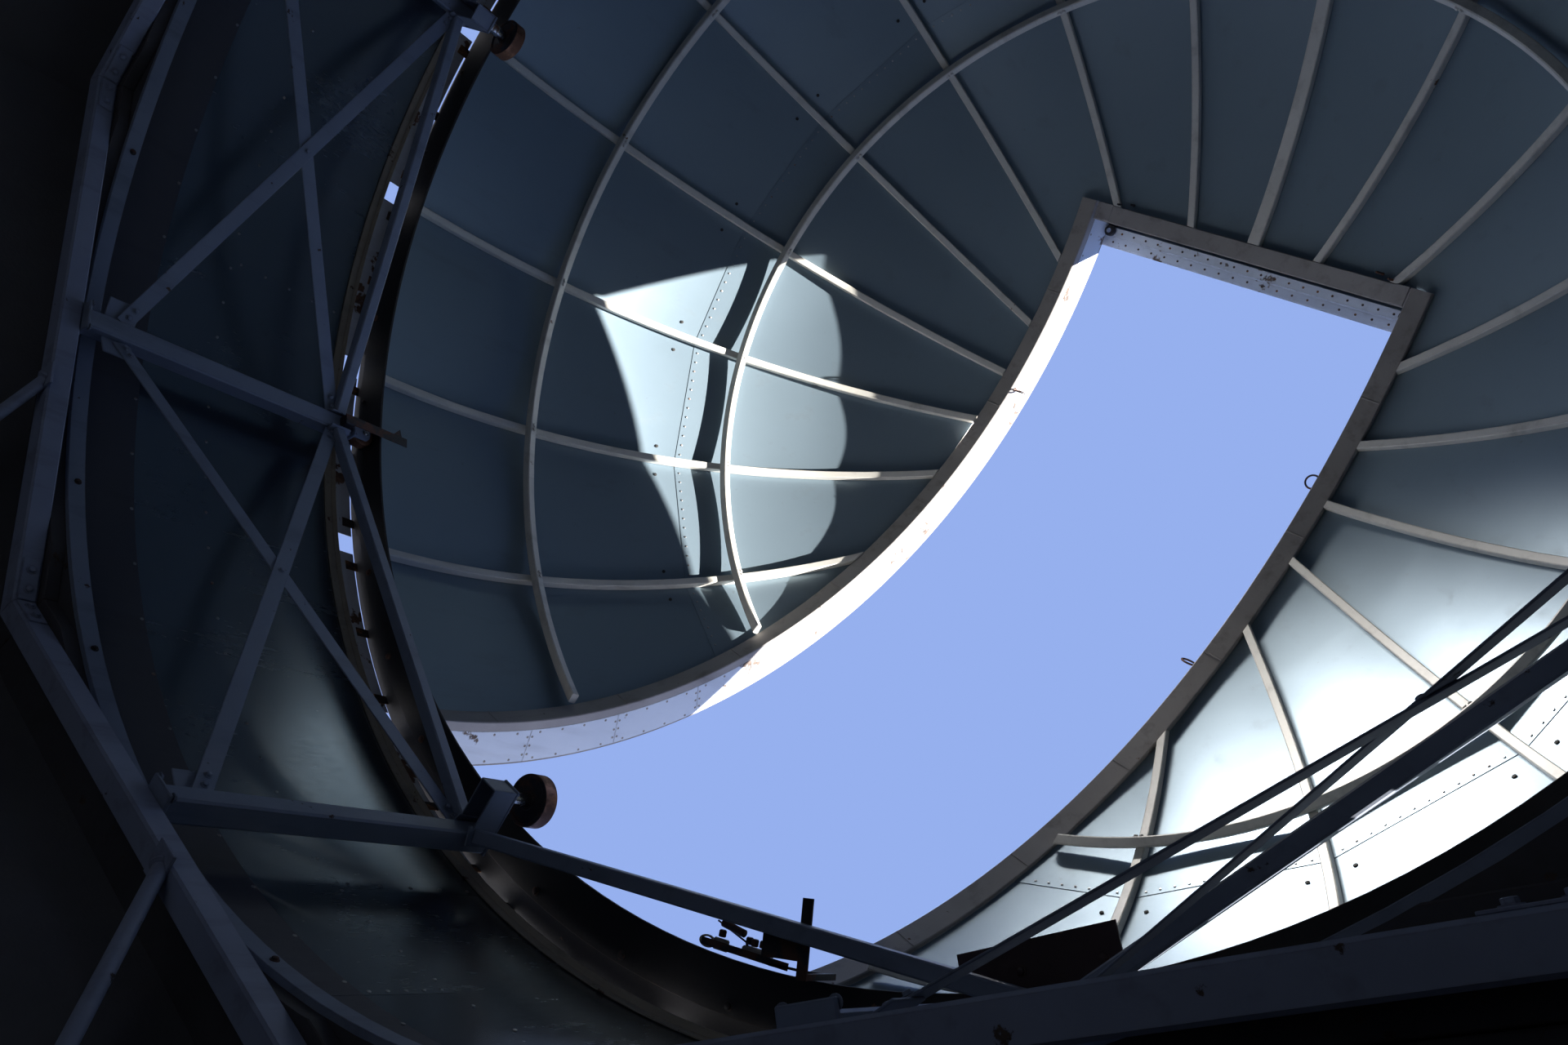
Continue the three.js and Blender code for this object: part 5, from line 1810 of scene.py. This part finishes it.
# Place and turn of the camera, solved from the ribs, hoops and rims in the photograph
CAMERA_AT = (-2.856, -1.246, 1.588)
CAMERA_TURN = ((-0.67041372, 0.40225931, -0.62348448), (0.4963812, 0.86771261, 0.02608679),
               (0.551499, -0.29199703, -0.7814004))


def set_camera():
    """Low inside the building near its front left corner, looking up at the slit."""
    view = bpy.data.cameras.new("camera")
    view.sensor_width = 36
    view.lens = 27.04
    view.clip_start = 0.02
    view.clip_end = 200
    eye = bpy.data.objects.new("camera", view)
    bpy.context.collection.objects.link(eye)
    eye.matrix_world = Matrix.Translation(CAMERA_AT) @ Matrix(CAMERA_TURN).to_4x4()
    bpy.context.scene.camera = eye


def lamp(kind, name, place, aim, power, colour, **settings):
    """Light at a place, aimed at a spot."""
    light = bpy.data.lights.new(name, kind)
    light.energy = power
    light.color = colour
    for key, value in settings.items():
        setattr(light, key, value)
    holder = bpy.data.objects.new(name, light)
    bpy.context.collection.objects.link(holder)
    holder.location = place
    holder.rotation_euler = (Vector(aim) - Vector(place)).to_track_quat("-Z", "Y").to_euler()
    holder.visible_camera = False


SUN_FROM = Vector((0, 0, 12))
SUN_RUN = Vector((0.827, -0.404, -0.391))


def set_light():
    """Blue sky, a low sun through the slit, its light thrown across by the coaming, and a pale floor."""
    scene = bpy.context.scene
    scene.view_settings.view_transform = "Standard"
    scene.world = bpy.data.worlds.new("sky")
    scene.world.use_nodes = True
    back = scene.world.node_tree.nodes["Background"]
    back.inputs["Color"].default_value = (0.305, 0.434, 0.855, 1)
    back.inputs["Strength"].default_value = 1.0
    lamp("SUN", "sun", SUN_FROM, SUN_FROM + SUN_RUN, 25.0, (1, 0.95, 0.88), angle=0.009)
    lamp("AREA", "sun thrown across by the coaming", (0.86, -0.05, 7.56), (-2.20, -1.45, 6.15), 22,
         (1, 0.95, 0.89), shape="RECTANGLE", size=1.3, size_y=0.16, spread=radians(50))
    lamp("AREA", "light from the floor", (0.2, 0.2, 0.25), (0, -0.3, 4), 5, (0.80, 0.88, 1.0), size=2.6)
    bpy.ops.object.select_all(action="DESELECT")
    bpy.ops.mesh.primitive_plane_add(size=60)
    floor = named(bpy.context.object, "floor")
    pale, tree, shader, place = blank("pale floor", 0.0, 0.8)
    clouds = mask_of(tree, PATCHES, place, Scale=0.7, Spread=0.3, Softness=0.2)
    tree.links.new(mixed(tree, clouds, (0.70, 0.69, 0.67), (0.64, 0.63, 0.61)), shader.inputs["Base Color"])
    floor.data.materials.append(pale)


build_object()
set_camera()
set_light()
